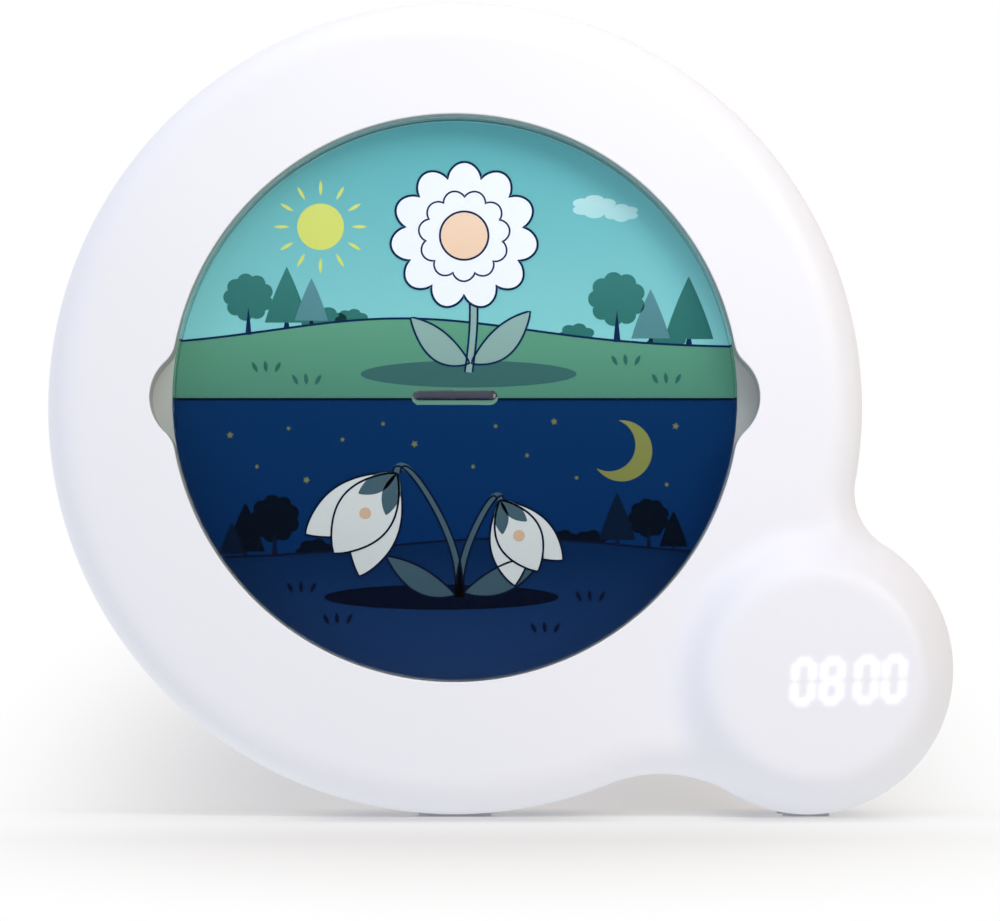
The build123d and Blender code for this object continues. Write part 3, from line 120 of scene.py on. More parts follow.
def make_piece(name, points, faces, material, body="root", sharp=40.0):
    """Object of points (n, 3) and faces, smooth but for edges sharper than an angle in degrees."""
    mesh = bpy.data.meshes.new(name)
    mesh.from_pydata(points.tolist(), [], [list(map(int, face)) for face in faces])
    mesh.polygons.foreach_set("use_smooth", np.ones(len(mesh.polygons), bool))
    mesh.set_sharp_from_angle(angle=math.radians(sharp))
    mesh.materials.append(material)
    piece = bpy.data.objects.new(name, mesh)
    bpy.context.scene.collection.objects.link(piece)
    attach(piece, body)
    return piece


def weld(mesh):
    """Joins points that lie on one another, which closes the poles of a surface."""
    form = bmesh.new()
    form.from_mesh(mesh)
    bmesh.ops.remove_doubles(form, verts=form.verts, dist=0.001 * MM)
    form.to_mesh(mesh)
    form.free()


def place(plan, depth):
    """Points (n, 3) from places x + i z in the front plane and their depths."""
    plan, depth = np.broadcast_arrays(plan, depth)
    return np.stack([plan.real, -depth, plan.imag], axis=-1).reshape(-1, 3)


# ---------------------------------------------------------------- colours and nodes
def linear(hex_colour):
    """sRGB hex value to linear red, green, blue and an alpha of one."""
    values = [int(hex_colour[i:i + 2], 16) / 255 for i in (1, 3, 5)]
    return [v / 12.92 if v <= 0.04045 else ((v + 0.055) / 1.055) ** 2.4 for v in values] + [1.0]


def add(tree, kind, inputs=None, **settings):
    """Adds a node: settings are its properties, inputs its values or the outputs that feed it."""
    node = tree.nodes.new(kind)
    for name, value in settings.items():
        setattr(node, name, value)
    for name, value in (inputs or {}).items():
        if isinstance(value, bpy.types.NodeSocket):
            tree.links.new(value, node.inputs[name])
        else:
            node.inputs[name].default_value = value
    return node


def start_material(name):
    """Empty material and its node tree."""
    material = bpy.data.materials.new(name)
    material.use_nodes = True
    material.node_tree.nodes.clear()
    return material, material.node_tree


def finish_material(tree, shader):
    """Sends a shader to the surface."""
    add(tree, "ShaderNodeOutputMaterial", {"Surface": shader})


def grain(tree, size, detail=3.0):
    """Noise in Object coordinates whose lumps are about size metres across."""
    place_of = add(tree, "ShaderNodeTexCoord").outputs["Object"]
    return add(tree, "ShaderNodeTexNoise",
               {"Vector": place_of, "Scale": 1 / size, "Detail": detail}).outputs["Fac"]


def uneven(tree, size, low, high):
    """Value that wanders from low to high over lumps about size metres across."""
    return add(tree, "ShaderNodeMapRange",
               {"Value": grain(tree, size), "To Min": low, "To Max": high}).outputs["Result"]


def moulded(name, colour, roughness, grit=0.5 * MM, relief=0.02 * MM, ior=1.53):
    """Moulded plastic: even colour, a fine spark-eroded grit and slight gloss changes."""
    material, tree = start_material(name)
    gloss = uneven(tree, 22 * MM, roughness - 0.05, roughness + 0.05)
    relief_node = add(tree, "ShaderNodeBump",
                      {"Height": grain(tree, grit, 2.0), "Strength": 0.35, "Distance": relief})
    shader = add(tree, "ShaderNodeBsdfPrincipled",
                 {"Base Color": linear(colour), "Roughness": gloss, "IOR": ior,
                  "Normal": relief_node.outputs["Normal"]})
    finish_material(tree, shader.outputs["BSDF"])
    return material


def plated(name, colour, roughness, grit=0.3 * MM):
    """Plated or drawn metal: bright, with fine streaks in its gloss."""
    material, tree = start_material(name)
    gloss = uneven(tree, grit, roughness - 0.06, roughness + 0.1)
    shader = add(tree, "ShaderNodeBsdfPrincipled",
                 {"Base Color": linear(colour), "Metallic": 1.0, "Roughness": gloss})
    finish_material(tree, shader.outputs["BSDF"])
    return material


# White ABS from a fine eroded mould: satin, neutral, with soft wide highlights.
white_abs = moulded("white_abs", "#EFF1F7", 0.42)
# Warm grey ABS of the picture frame, seen in the finger scoops.
grey_abs = moulded("grey_abs", "#C2C6C3", 0.5)
# Painted shade: a darker grey sheet over the window's wall, in place of the white shell there.
painted_wall_shade = moulded("painted_wall_shade", "#A6ABA8", 0.45)
# Light grey ABS keys, a little rougher than the shells.
key_abs = moulded("key_abs", "#B4BCC4", 0.48)
# Black glass-filled nylon of connectors and the inlet.
black_nylon = moulded("black_nylon", "#1B1B1D", 0.5)
# Opal acrylic sheet that spreads the light behind the picture.
opal_acrylic = moulded("opal_acrylic", "#F2F1EA", 0.3, ior=1.49)
# White polypropylene of the light box, matt so that it scatters light.
white_polypropylene = moulded("white_polypropylene", "#ECECE6", 0.6)
# Grey silicone rubber pads: matt, with a talc-like bloom; their mid grey is also painted shade,
# darker so as to stand for the contact shade under the clock.
pad_rubber_and_contact_shade = moulded("pad_rubber_and_contact_shade", "#A4A8AC", 0.75, relief=0.04 * MM, ior=1.41)
# Solder mask on glass fibre laminate.
solder_mask = moulded("solder_mask", "#1F6B45", 0.35, grit=1.2 * MM, relief=0.03 * MM)
# Pressed paper pulp of the speaker cone.
paper_pulp = moulded("paper_pulp", "#2A2724", 0.9, grit=0.8 * MM, relief=0.08 * MM)
# Sintered ferrite of the speaker magnet.
sintered_ferrite = moulded("sintered_ferrite", "#3A3A3C", 0.6, grit=0.6 * MM)
# Enamelled pressed steel of the speaker basket.
enamelled_steel = moulded("enamelled_steel", "#222326", 0.35)
# Light emitting diode packages: milky housing round a yellow phosphor.
phosphor_resin = moulded("phosphor_resin", "#F0E6A8", 0.3)
# Zinc plated steel screws.
zinc_plate = plated("zinc_plate", "#B9BBBD", 0.32)
# Nickel plated spring steel of the battery contacts.
nickel_plate = plated("nickel_plate", "#C9C4B8", 0.25)
# Dark pad-printed ink of the symbols on the keys.
pad_ink = moulded("pad_ink", "#4A5058", 0.6, relief=0.0)
# Smoked film over the digits, behind the dome's wall.
smoked_film = moulded("smoked_film", "#8D9296", 0.25)


def battery_jacket():
    """Printed film on a steel can: slate with a copper band at one end."""
    material, tree = start_material("battery_jacket")
    position = add(tree, "ShaderNodeTexCoord").outputs["Object"]
    across = add(tree, "ShaderNodeSeparateXYZ", {"Vector": position}).outputs["X"]
    copper = add(tree, "ShaderNodeMath",
                 {0: across, 1: RING.real + 11 * MM}, operation="GREATER_THAN").outputs[0]
    colour = add(tree, "ShaderNodeMix",
                 {0: copper, 6: linear("#2E3E52"), 7: linear("#B8703C")}, data_type="RGBA")
    gloss = uneven(tree, 3 * MM, 0.25, 0.34)
    shader = add(tree, "ShaderNodeBsdfPrincipled",
                 {"Base Color": colour.outputs[2], "Roughness": gloss, "Metallic": 0.4})
    finish_material(tree, shader.outputs["BSDF"])
    return material


def clear_polystyrene():
    """Clear moulded polystyrene: bends what is behind it and gleams at its edges.

    Rays on their way to a lamp pass straight through, so that the picture behind stays lit.
    """
    material, tree = start_material("clear_polystyrene")
    glass = add(tree, "ShaderNodeBsdfPrincipled",
                {"Base Color": linear("#FDFFFF"), "Roughness": 0.03, "IOR": 1.59,
                 "Transmission Weight": 1.0})
    see_through = add(tree, "ShaderNodeBsdfTransparent", {"Color": linear("#FBFDFD")})
    path = add(tree, "ShaderNodeLightPath").outputs
    to_lamp = add(tree, "ShaderNodeMath",
                  {0: path["Is Shadow Ray"], 1: path["Is Diffuse Ray"]}, operation="MAXIMUM")
    mix = add(tree, "ShaderNodeMixShader",
              {0: to_lamp.outputs[0], 1: glass.outputs[0], 2: see_through.outputs[0]})
    finish_material(tree, mix.outputs[0])
    return material


def ink(name, lower, upper, low, high, glow=0.0):
    """Print on film, its colour changing from a lower height to an upper one, in millimetres.

    A fine mottle breaks the even ink, and a share of light comes through it from behind.
    """
    material, tree = start_material(name)
    position = add(tree, "ShaderNodeTexCoord").outputs["Object"]
    height = add(tree, "ShaderNodeSeparateXYZ", {"Vector": position}).outputs["Z"]
    climb = add(tree, "ShaderNodeMapRange",
                {"Value": height, "From Min": WINDOW.imag + low * MM,
                 "From Max": WINDOW.imag + high * MM})
    colour = add(tree, "ShaderNodeMix",
                 {0: climb.outputs["Result"], 6: linear(lower), 7: linear(upper)},
                 data_type="RGBA")
    mottle = uneven(tree, 0.35 * MM, 0.94, 1.06)
    inked = add(tree, "ShaderNodeVectorMath", {0: colour.outputs[2], "Scale": mottle},
                operation="SCALE").outputs["Vector"]
    shader = add(tree, "ShaderNodeBsdfPrincipled",
                 {"Base Color": inked, "Roughness": 0.6, "Specular IOR Level": 0.0,
                  "Emission Color": inked, "Emission Strength": glow})
    finish_material(tree, shader.outputs["BSDF"])
    return material


def lit_abs():
    """The dome's own ABS, thin enough there for the digits behind it to glow through."""
    material = white_abs.copy()
    material.name = "lit_abs"
    tree = material.node_tree
    shader = next(node for node in tree.nodes if node.type == "BSDF_PRINCIPLED")
    glow = add(tree, "ShaderNodeAttribute", attribute_name="glow")
    strength = add(tree, "ShaderNodeMath", {0: glow.outputs["Fac"], 1: DIGIT_GLOW},
                   operation="MULTIPLY")
    shader.inputs["Emission Color"].default_value = linear("#F2F6FF")
    tree.links.new(strength.outputs[0], shader.inputs["Emission Strength"])
    return material


cover_plastic = clear_polystyrene()

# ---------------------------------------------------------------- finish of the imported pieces
FINISHES = {
    white_abs: ("rear_shell", "battery_door"),
    grey_abs: ("picture_frame", "display_module", "tact_switches", "mode_switch"),
    key_abs: ("clock_button", "alarm_button", "minus_button", "plus_button", "mode_slider"),
    black_nylon: ("board_components", "power_jack"),
    opal_acrylic: ("day_diffuser", "night_diffuser", "picture_card"),
    white_polypropylene: ("light_box",),
    pad_rubber_and_contact_shade: ("front_feet", "rear_feet"),
    solder_mask: ("day_led_board", "night_led_board", "display_board", "main_board",
                  "power_board"),
    paper_pulp: ("speaker_cone",),
    sintered_ferrite: ("speaker_magnet",),
    enamelled_steel: ("speaker_basket",),
    phosphor_resin: ("day_leds", "night_leds"),
    zinc_plate: ("housing_screws", "light_box_screws", "main_board_screws", "display_screws",
                 "speaker_screws", "door_screw"),
    nickel_plate: ("battery_contacts", "battery_springs"),
    smoked_film: ("display_film",),
    battery_jacket(): ("battery_cell_lower", "battery_cell_middle", "battery_cell_upper"),
    cover_plastic: ("clear_cover",),
}
for finish, names in FINISHES.items():
    for name in names:
        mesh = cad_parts[name].data
        mesh.materials.clear()
        mesh.materials.append(finish)


# ---------------------------------------------------------------- outlines
def web_centre(big, big_radius, small, small_radius, web_radius, side):
    """Centre of the hollow arc that is tangent to two crossing circles, on one side of them."""
    gap = abs(small - big)
    reach = big_radius + web_radius
    turn = math.acos((gap**2 + reach**2 - (small_radius + web_radius) ** 2) / (2 * gap * reach))
    way = (small - big) / gap * complex(math.cos(turn), side * math.sin(turn))
    return big + reach * way


def bearing(start, end):
    """Angle of the line from one point to another."""
    way = end - start
    return math.atan2(way.imag, way.real)


def housing_outline(inset, shares):
    """Points on the housing's outline moved inwards: ring, lower web, dome and upper web arcs.

    shares holds for each arc the fractions of its sweep at which points are wanted.
    """
    ring, dome = RING_RADIUS - inset, DOME_RADIUS - inset
    upper_web, lower_web = UPPER_WEB_RADIUS + inset, LOWER_WEB_RADIUS + inset
    upper = web_centre(RING, ring, DOME, dome, upper_web, 1)
    lower = web_centre(RING, ring, DOME, dome, lower_web, -1)
    turn = 2 * math.pi
    arcs = (
        (RING, ring, bearing(RING, upper), (bearing(RING, lower) - bearing(RING, upper)) % turn),
        (lower, lower_web, bearing(lower, RING),
         -((bearing(lower, RING) - bearing(lower, DOME)) % turn)),
        (DOME, dome, bearing(DOME, lower), (bearing(DOME, upper) - bearing(DOME, lower)) % turn),
        (upper, upper_web, bearing(upper, DOME),
         -((bearing(upper, DOME) - bearing(upper, RING)) % turn)),
    )
    return np.concatenate([centre + radius * np.exp(1j * (start + sweep * share))
                           for (centre, radius, start, sweep), share in zip(arcs, shares)])


def window_outline(grow, angles):
    """Points on the window's outline moved outwards, at angles round the window's middle.

    The outline is the window circle, a finger scoop's circle at each side, and small rounded
    corners where they meet; by symmetry all is worked out for the first quarter.
    """
    angles = np.asarray(angles)
    quarter = np.abs((angles + math.pi / 2) % math.pi - math.pi / 2)
    circle, scoop = WINDOW_RADIUS + grow, SCOOP_RADIUS + grow
    corner = SCOOP_BLEND - grow
    scoop_middle = WINDOW_RADIUS + SCOOP_REACH - SCOOP_RADIUS
    blend = web_centre(0j, circle, complex(scoop_middle, 0), scoop, corner, 1)
    way = blend - scoop_middle
    touch = scoop_middle + scoop * way / abs(way)
    scoop_end, blend_end = bearing(0j, touch), bearing(0j, blend)
    in_scoop = scoop_middle * np.cos(quarter) + np.sqrt(
        np.maximum(scoop**2 - (scoop_middle * np.sin(quarter)) ** 2, 0))
    off = quarter - blend_end
    in_blend = abs(blend) * np.cos(off) - np.sqrt(
        np.maximum(corner**2 - (abs(blend) * np.sin(off)) ** 2, 0))
    radius = np.where(quarter < scoop_end, in_scoop,
                      np.where(quarter < blend_end, in_blend, circle))
    return WINDOW + radius * np.exp(1j * angles)


def face_depth(plan):
    """Depth of the front face: the ring's face, raised round the clock by a smooth ogee.

    The ogee is a cubic Bezier curve, level at both ends, over the distance from the clock.
    """
    step = np.linspace(0, 1, 200)
    foot, top = PLATEAU_RADIUS + SWELL_WIDTH, PLATEAU_RADIUS
    middle = (foot + top) / 2
    reach = foot * (1 - step) ** 3 + 3 * middle * (1 - step) * step + top * step**3
    rise = 3 * (1 - step) * step**2 + step**3
    return RING_FACE + (DOME_FACE - RING_FACE) * np.interp(
        np.abs(plan - PLATEAU), reach[::-1], rise[::-1])


# ---------------------------------------------------------------- front skin
def front_skin():
    """Closed wall of the front shell as rows round the housing.

    Each row is the housing's outline at one inset and depth, or a step between that outline and
    the window's outline, so the rows run from the joint with the rear shell over the shoulder,
    across the face, round the lip, down the window and back along the inside.
    """
    shares = [np.arange(count) / count for count in OUTLINE_POINTS]
    edge = housing_outline(SHOULDER, shares)
    angles = np.angle(edge - WINDOW)
    rows = []
    rows.append((housing_outline(0, shares), PARTING))
    for turn in np.linspace(0, math.pi / 2, SHOULDER_ROWS):
        outline = housing_outline(SHOULDER * (1 - math.cos(turn)), shares)
        rows.append((outline, face_depth(outline) - SHOULDER * (1 - math.sin(turn))))
    lip_edge = window_outline(LIP + CREASE, angles)
    for step in np.linspace(0, 1, FACE_ROWS)[1:]:
        outline = edge + (lip_edge - edge) * step
        rows.append((outline, face_depth(outline)))
    for turn in np.linspace(0, math.pi / 2, LIP_ROWS):
        outline = window_outline(LIP * (1 - math.sin(turn)), angles)
        rows.append((outline, face_depth(outline) - LIP * (1 - math.cos(turn))))
    # The window's wall stands back behind the thin sheet of painted shade that covers it.
    behind_shade_sheet = window_outline(SHADE_SHEET, angles)
    rows.append((behind_shade_sheet, face_depth(behind_shade_sheet) - LIP))
    rows.append((behind_shade_sheet, SEAT))
    skirt = window_outline(SKIRT, angles)
    rows.append((skirt, SEAT))
    rows.append((skirt, face_depth(skirt) - WALL))
    for step in np.linspace(0, 1, INSIDE_ROWS[0])[1:]:
        outline = skirt + (edge - skirt) * step
        rows.append((outline, face_depth(outline) - WALL))
    inner = SHOULDER - WALL
    for turn in np.linspace(math.pi / 2, 0, INSIDE_ROWS[1])[1:]:
        outline = housing_outline(WALL + inner * (1 - math.cos(turn)), shares)
        rows.append((outline, face_depth(outline) - WALL - inner * (1 - math.sin(turn))))
    rows.append((housing_outline(WALL, shares), PARTING))
    points = np.concatenate([place(plan, depth) for plan, depth in rows])
    faces = grid_faces(len(rows), len(edge), around=True, along=True)
    piece = make_piece("front_skin", points, faces, white_abs)
    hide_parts("front_shell")


front_skin()


def window_wall_shade():
    """Thin closed ring of painted shade, darker grey, over the window's wall: one outline at two
    reaches and depths.
    """
    angles = np.linspace(0, 2 * math.pi, WINDOW_POINTS, endpoint=False)
    inner, outer = window_outline(0, angles), window_outline(SHADE_SHEET, angles)
    rows = [(inner, face_depth(inner) - LIP - CREASE), (inner, SEAT), (outer, SEAT),
            (outer, face_depth(outer) - LIP - CREASE)]
    points = np.concatenate([place(plan, depth) for plan, depth in rows])
    faces = grid_faces(len(rows), len(angles), around=True, along=True)
    make_piece("window_wall_shade", points, faces, painted_wall_shade)


window_wall_shade()


def slot_outline(inset):
    """Points round the grip's outline, moved inwards: two half circles and their tangents."""
    length, height = GRIP
    radius = height / 2 - inset
    reach = (length - height) / 2
    turn = np.linspace(-math.pi / 2, math.pi / 2, 40)
    run = np.linspace(reach, -reach, 82)[1:-1]
    right = np.concatenate([reach + radius * np.exp(1j * turn), run + 1j * radius])
    return WINDOW + np.concatenate([right, -right])


def cover_skin():
    """Clear cover as rows from the middle of its grip over the front and back along the inside.

    The grip's front is a circular arc of height GRIP_SWELL across its width, whose crest leans
    down; each further row is a circle round the window's middle at one radius and depth.
    """
    front, back = -cover_low.y - GRIP_RISE, -cover_high.y
    outer = WINDOW_RADIUS - COVER_GAP
    inner = outer - COVER_WALL
    grip = slot_outline(0)
    ways = np.exp(1j * np.angle((grip - WINDOW).real * GRIP[1] / GRIP[0]
                                + 1j * (grip - WINDOW).imag))
    half = GRIP[1] / 2
    arc = (half**2 + GRIP_SWELL**2) / (2 * GRIP_SWELL)
    rows = []
    for turn in np.linspace(0, math.asin(half / arc), 14):
        out = arc * math.sin(turn)
        rows.append((slot_outline(half - out) - 1j * GRIP_LEAN * (1 - out / half),
                     front + GRIP_SWELL - arc * (1 - math.cos(turn))))
    quarter = np.linspace(0, math.pi / 2, 10)
    flat = WINDOW + (outer - COVER_ROUND - CREASE) * ways
    rows += [(grip + (flat - grip) * step, front) for step in np.linspace(0, 1, 9)[1:]]
    for turn in quarter:
        rows.append((WINDOW + (outer - COVER_ROUND * (1 - math.sin(turn))) * ways,
                     front - COVER_ROUND * (1 - math.cos(turn))))
    rows += [(WINDOW + radius * ways, depth)
             for radius, depth in ((outer, back), (inner, back), (inner, front - COVER_PANE),
                                   (inner / 2, front - COVER_PANE), (0, front - COVER_PANE))]
    points = np.concatenate([place(plan, depth) for plan, depth in rows])
    faces = grid_faces(len(rows), len(grip), around=True)[:, ::-1]
    piece = make_piece("cover_skin", points, faces, cover_plastic, body="cover", sharp=25.0)
    weld(piece.data)
    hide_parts("clear_cover")


cover_skin()


# ---------------------------------------------------------------- lit digits
DIGITS_MIDDLE = PLATEAU + complex(5.9, -0.9) * MM
DIGIT_TILT = math.radians(1.7)
DIGIT_SLANT = 0.1  # sideways lean for each unit of height
DIGIT_HALF_WIDTH = 1.85 * MM
DIGIT_HALF_HEIGHT = 4.4 * MM
DIGIT_STEPS = (-9.9, -3.65, 3.8, 9.85)  # middles of the digits along the row, in millimetres
SEGMENT_GAP = 1.2 * MM
SEGMENT_HALF_WIDTH = 0.42 * MM
GLOW_SPREAD = 0.68 * MM
PATCH_REACH = complex(13.6, 6.6) * MM  # half-width and half-height of the lit skin
PATCH_GRID = (250, 122)
SEGMENTS = {"top": ((-1, 1), (1, 1)), "middle": ((-1, 0), (1, 0)), "bottom": ((-1, -1), (1, -1)),
            "upper_left": ((-1, 0), (-1, 1)), "upper_right": ((1, 0), (1, 1)),
            "lower_left": ((-1, -1), (-1, 0)), "lower_right": ((1, -1), (1, 0))}
SHOWN = {"0": [name for name in SEGMENTS if name != "middle"], "8": list(SEGMENTS)}


def digit_glow(plan):
    """How brightly the face glows at places on it.

    Each lit segment leaves dark one less a bell of the distance from its bar, and the glow is
    one less the product of those.
    """
    local = (plan - DIGITS_MIDDLE) * complex(math.cos(DIGIT_TILT), -math.sin(DIGIT_TILT))
    local = local - DIGIT_SLANT * local.imag
    dark = np.ones(plan.shape)
    for digit, step in zip("0800", DIGIT_STEPS):
        for name in SHOWN[digit]:
            start, end = (complex(x * DIGIT_HALF_WIDTH, z * DIGIT_HALF_HEIGHT)
                          for x, z in SEGMENTS[name])
            way = (end - start) / abs(end - start)
            off = (local - step * MM - start) / way
            past = np.abs(off.real - abs(end - start) / 2) - abs(end - start) / 2 + SEGMENT_GAP
            distance = np.hypot(np.maximum(past, 0), off.imag)
            outside = np.maximum(distance - SEGMENT_HALF_WIDTH, 0)
            dark *= 1 - np.exp(-(outside / GLOW_SPREAD) ** 2)
    return 1 - dark


def digit_patch():
    """Skin of the clock face where the digits shine, just proud of the dome and shaped like it."""
    across = np.linspace(-PATCH_REACH.real, PATCH_REACH.real, PATCH_GRID[0])
    up = np.linspace(-PATCH_REACH.imag, PATCH_REACH.imag, PATCH_GRID[1])
    plan = DIGITS_MIDDLE + across[None, :] + 1j * up[:, None]
    points = place(plan, face_depth(plan) + PATCH_RISE)
    patch = make_piece("digit_patch", points, grid_faces(*plan.shape), lit_abs())
    glow = patch.data.attributes.new("glow", "FLOAT", "POINT")
    glow.data.foreach_set("value", digit_glow(plan).ravel())


digit_patch()


# ---------------------------------------------------------------- printed picture
def turned(points, middle=0j, turn=0.0, size=1.0):
    """Points turned by an angle in degrees and scaled, then moved to a middle."""
    return middle + np.asarray(points) * size * np.exp(1j * math.radians(turn))


def lobed(lobes, depth, stretch=1.0, count=144):
    """Round outline of radius one with lobes: a scallop of |sin|, stretched in height."""
    angle = np.linspace(0, 2 * math.pi, count, endpoint=False)
    radius = 1 - depth + depth * np.abs(np.sin(lobes * angle / 2)) ** 0.7
    outline = radius * np.exp(1j * angle)
    return outline.real + 1j * stretch * outline.imag


def leaf(length, width, bend=0.0, count=24):
    """Leaf from the origin along x: half-width width*sin(pi t)^0.8, bent into a parabola."""
    step = np.linspace(0, 1, count)
    half = width / 2 * np.sin(math.pi * step) ** 0.8
    spine = length * step + 1j * bend * step**2
    return np.concatenate([spine - 1j * half, (spine + 1j * half)[-2:0:-1]])


def conifer(width, height, count=14):
    """Pointed tree on a flat foot: half-width (1 - t)(1 + t / 4) at the share t of its height."""
    step = np.linspace(0, 1, count)
    half = width / 2 * (1 - step) * (1 + 0.25 * step)
    side = half + 1j * height * step
    return np.concatenate([side, -side.conj()[-2::-1]])


def star(points=5, waist=0.45):
    """Pointed star of radius one, first point up."""
    angle = math.pi / 2 + np.arange(2 * points) * math.pi / points
    return np.where(np.arange(2 * points) % 2, waist, 1.0) * np.exp(1j * angle)


def crescent(gap=0.45, size=0.86, count=40):
    """Moon of radius one: the disc less a smaller disc that is shifted to the right."""
    turn = math.acos((1 + gap**2 - size**2) / (2 * gap))
    outer = np.exp(1j * np.linspace(turn, 2 * math.pi - turn, count))
    start = np.angle(outer[-1] - gap) % (2 * math.pi)
    inner = gap + size * np.exp(1j * np.linspace(start, 2 * math.pi - start, count))
    return outer, inner


def fan(outline, layer):
    """Filled shape round its middle, clipped to the window's circle."""
    outline = np.append(outline, outline.mean())
    outline = outline * np.minimum(1, PRINT_RADIUS / MM / np.maximum(np.abs(outline), 1e-6))
    edge = np.arange(len(outline) - 1)
    faces = np.stack([edge, np.roll(edge, -1), np.full(len(edge), len(edge))], axis=1)
    return print_points(outline, layer), faces


def band(lower, upper, layer):
    """Filled band between two curves of equally many points."""
    faces = grid_faces(2, len(lower))
    return print_points(np.concatenate([lower, upper]), layer), faces


def ribbon(line, width, closed=True):
    """Plan and faces of a line of one width along a curve."""
    if closed:
        way = np.roll(line, -1) - np.roll(line, 1)
    else:
        way = np.gradient(line)
    side = 1j * way / np.maximum(np.abs(way), 1e-9) * width / 2
    return np.concatenate([line - side, line + side]), grid_faces(2, len(line), around=closed)


def stroke(line, width, layer, closed=True):
    """Printed line of one width along a curve."""
    plan, faces = ribbon(line, width, closed)
    return print_points(plan, layer), faces


def print_points(plan, layer):
    """Places on the card, given in millimetres from the window's middle, in one printed layer."""
    return place(WINDOW + plan * MM, CARD_FACE + layer * PRINT_STEP)


def printed(name, material, shapes, body="root"):
    """One object of all shapes printed in one ink."""
    points, faces, start = [], [], 0
    for shape_points, shape_faces in shapes:
        points.append(shape_points)
        faces += (shape_faces + start).tolist()
        start += len(shape_points)
    piece = make_piece(name, np.concatenate(points), faces, material, body)


def half_disc(side, layer):
    """Half of the window above (1) or below (-1) its middle."""
    angle = np.linspace(0, math.pi, 121)
    edge = PRINT_RADIUS / MM * np.exp(1j * angle)
    flat = edge.real + 0j
    if side > 0:
        return band(edge, flat, layer)
    return band(flat, edge.conj(), layer)


def hill(base, crown, middle, width):
    """Ground line across the window: base plus a soft rise of height crown at middle."""
    def height(across):
        return base + crown * np.exp(-((across - middle) / width) ** 2)
    return height


def ground(height, floor, layer):
    """Filled ground from a hill line down to a floor or the window's edge, and the hill's line."""
    reach = PRINT_RADIUS / MM
    across = reach * np.sin(np.linspace(-math.pi / 2, math.pi / 2, 181))
    edge = np.sqrt(np.maximum(reach**2 - across**2, 0))
    low = np.maximum(-edge, floor)
    top = np.clip(height(across), low, np.maximum(edge, low))
    crest = across[(height(across) > -edge) & (height(across) < edge)]
    line = stroke(crest + 1j * height(crest), 0.5, layer + 1, closed=False)
    return band(across + 1j * low, across + 1j * top, layer), line


def landscape(half, height, trees, bushes, firs, tree_ink, far_ink, line_ink):
    """Trees, bushes and firs on a hill line, each given as (place across, size)."""
    near, far, trunks = [], [], []
    for across, size in trees:
        foot = complex(across, height(across) - 0.3)
        near.append(fan(foot + 1.5j * size + size * lobed(9, 0.14, 0.95), 4))
        trunks.append(fan(foot + size * conifer(0.24, 1.1), 5))
    for across, size in bushes:
        near.append(fan(complex(across, height(across)) + size * lobed(7, 0.2, 0.7), 2))
    for count, (across, size) in enumerate(firs):
        foot = complex(across, height(across) + 0.1 * size)
        shape = fan(foot + conifer(0.78 * size, size), 3 + count % 2)
        (far if count % 2 else near).append(shape)
        trunks.append(fan(foot - 0.14j * size + conifer(0.12 * size, 0.3 * size), 2))
    printed(f"{half}_trees", tree_ink, near)
    printed(f"{half}_far_trees", far_ink, far)
    printed(f"{half}_trunks", line_ink, trunks)


def tufts(places, size, layer):
    """Grass tufts of three short blades."""
    return [fan(turned(leaf(size, 0.35 * size), complex(*spot) + step * 0.75 * size, turn), layer)
            for spot in places for step, turn in ((-1, 118), (0, 96), (1, 62))]


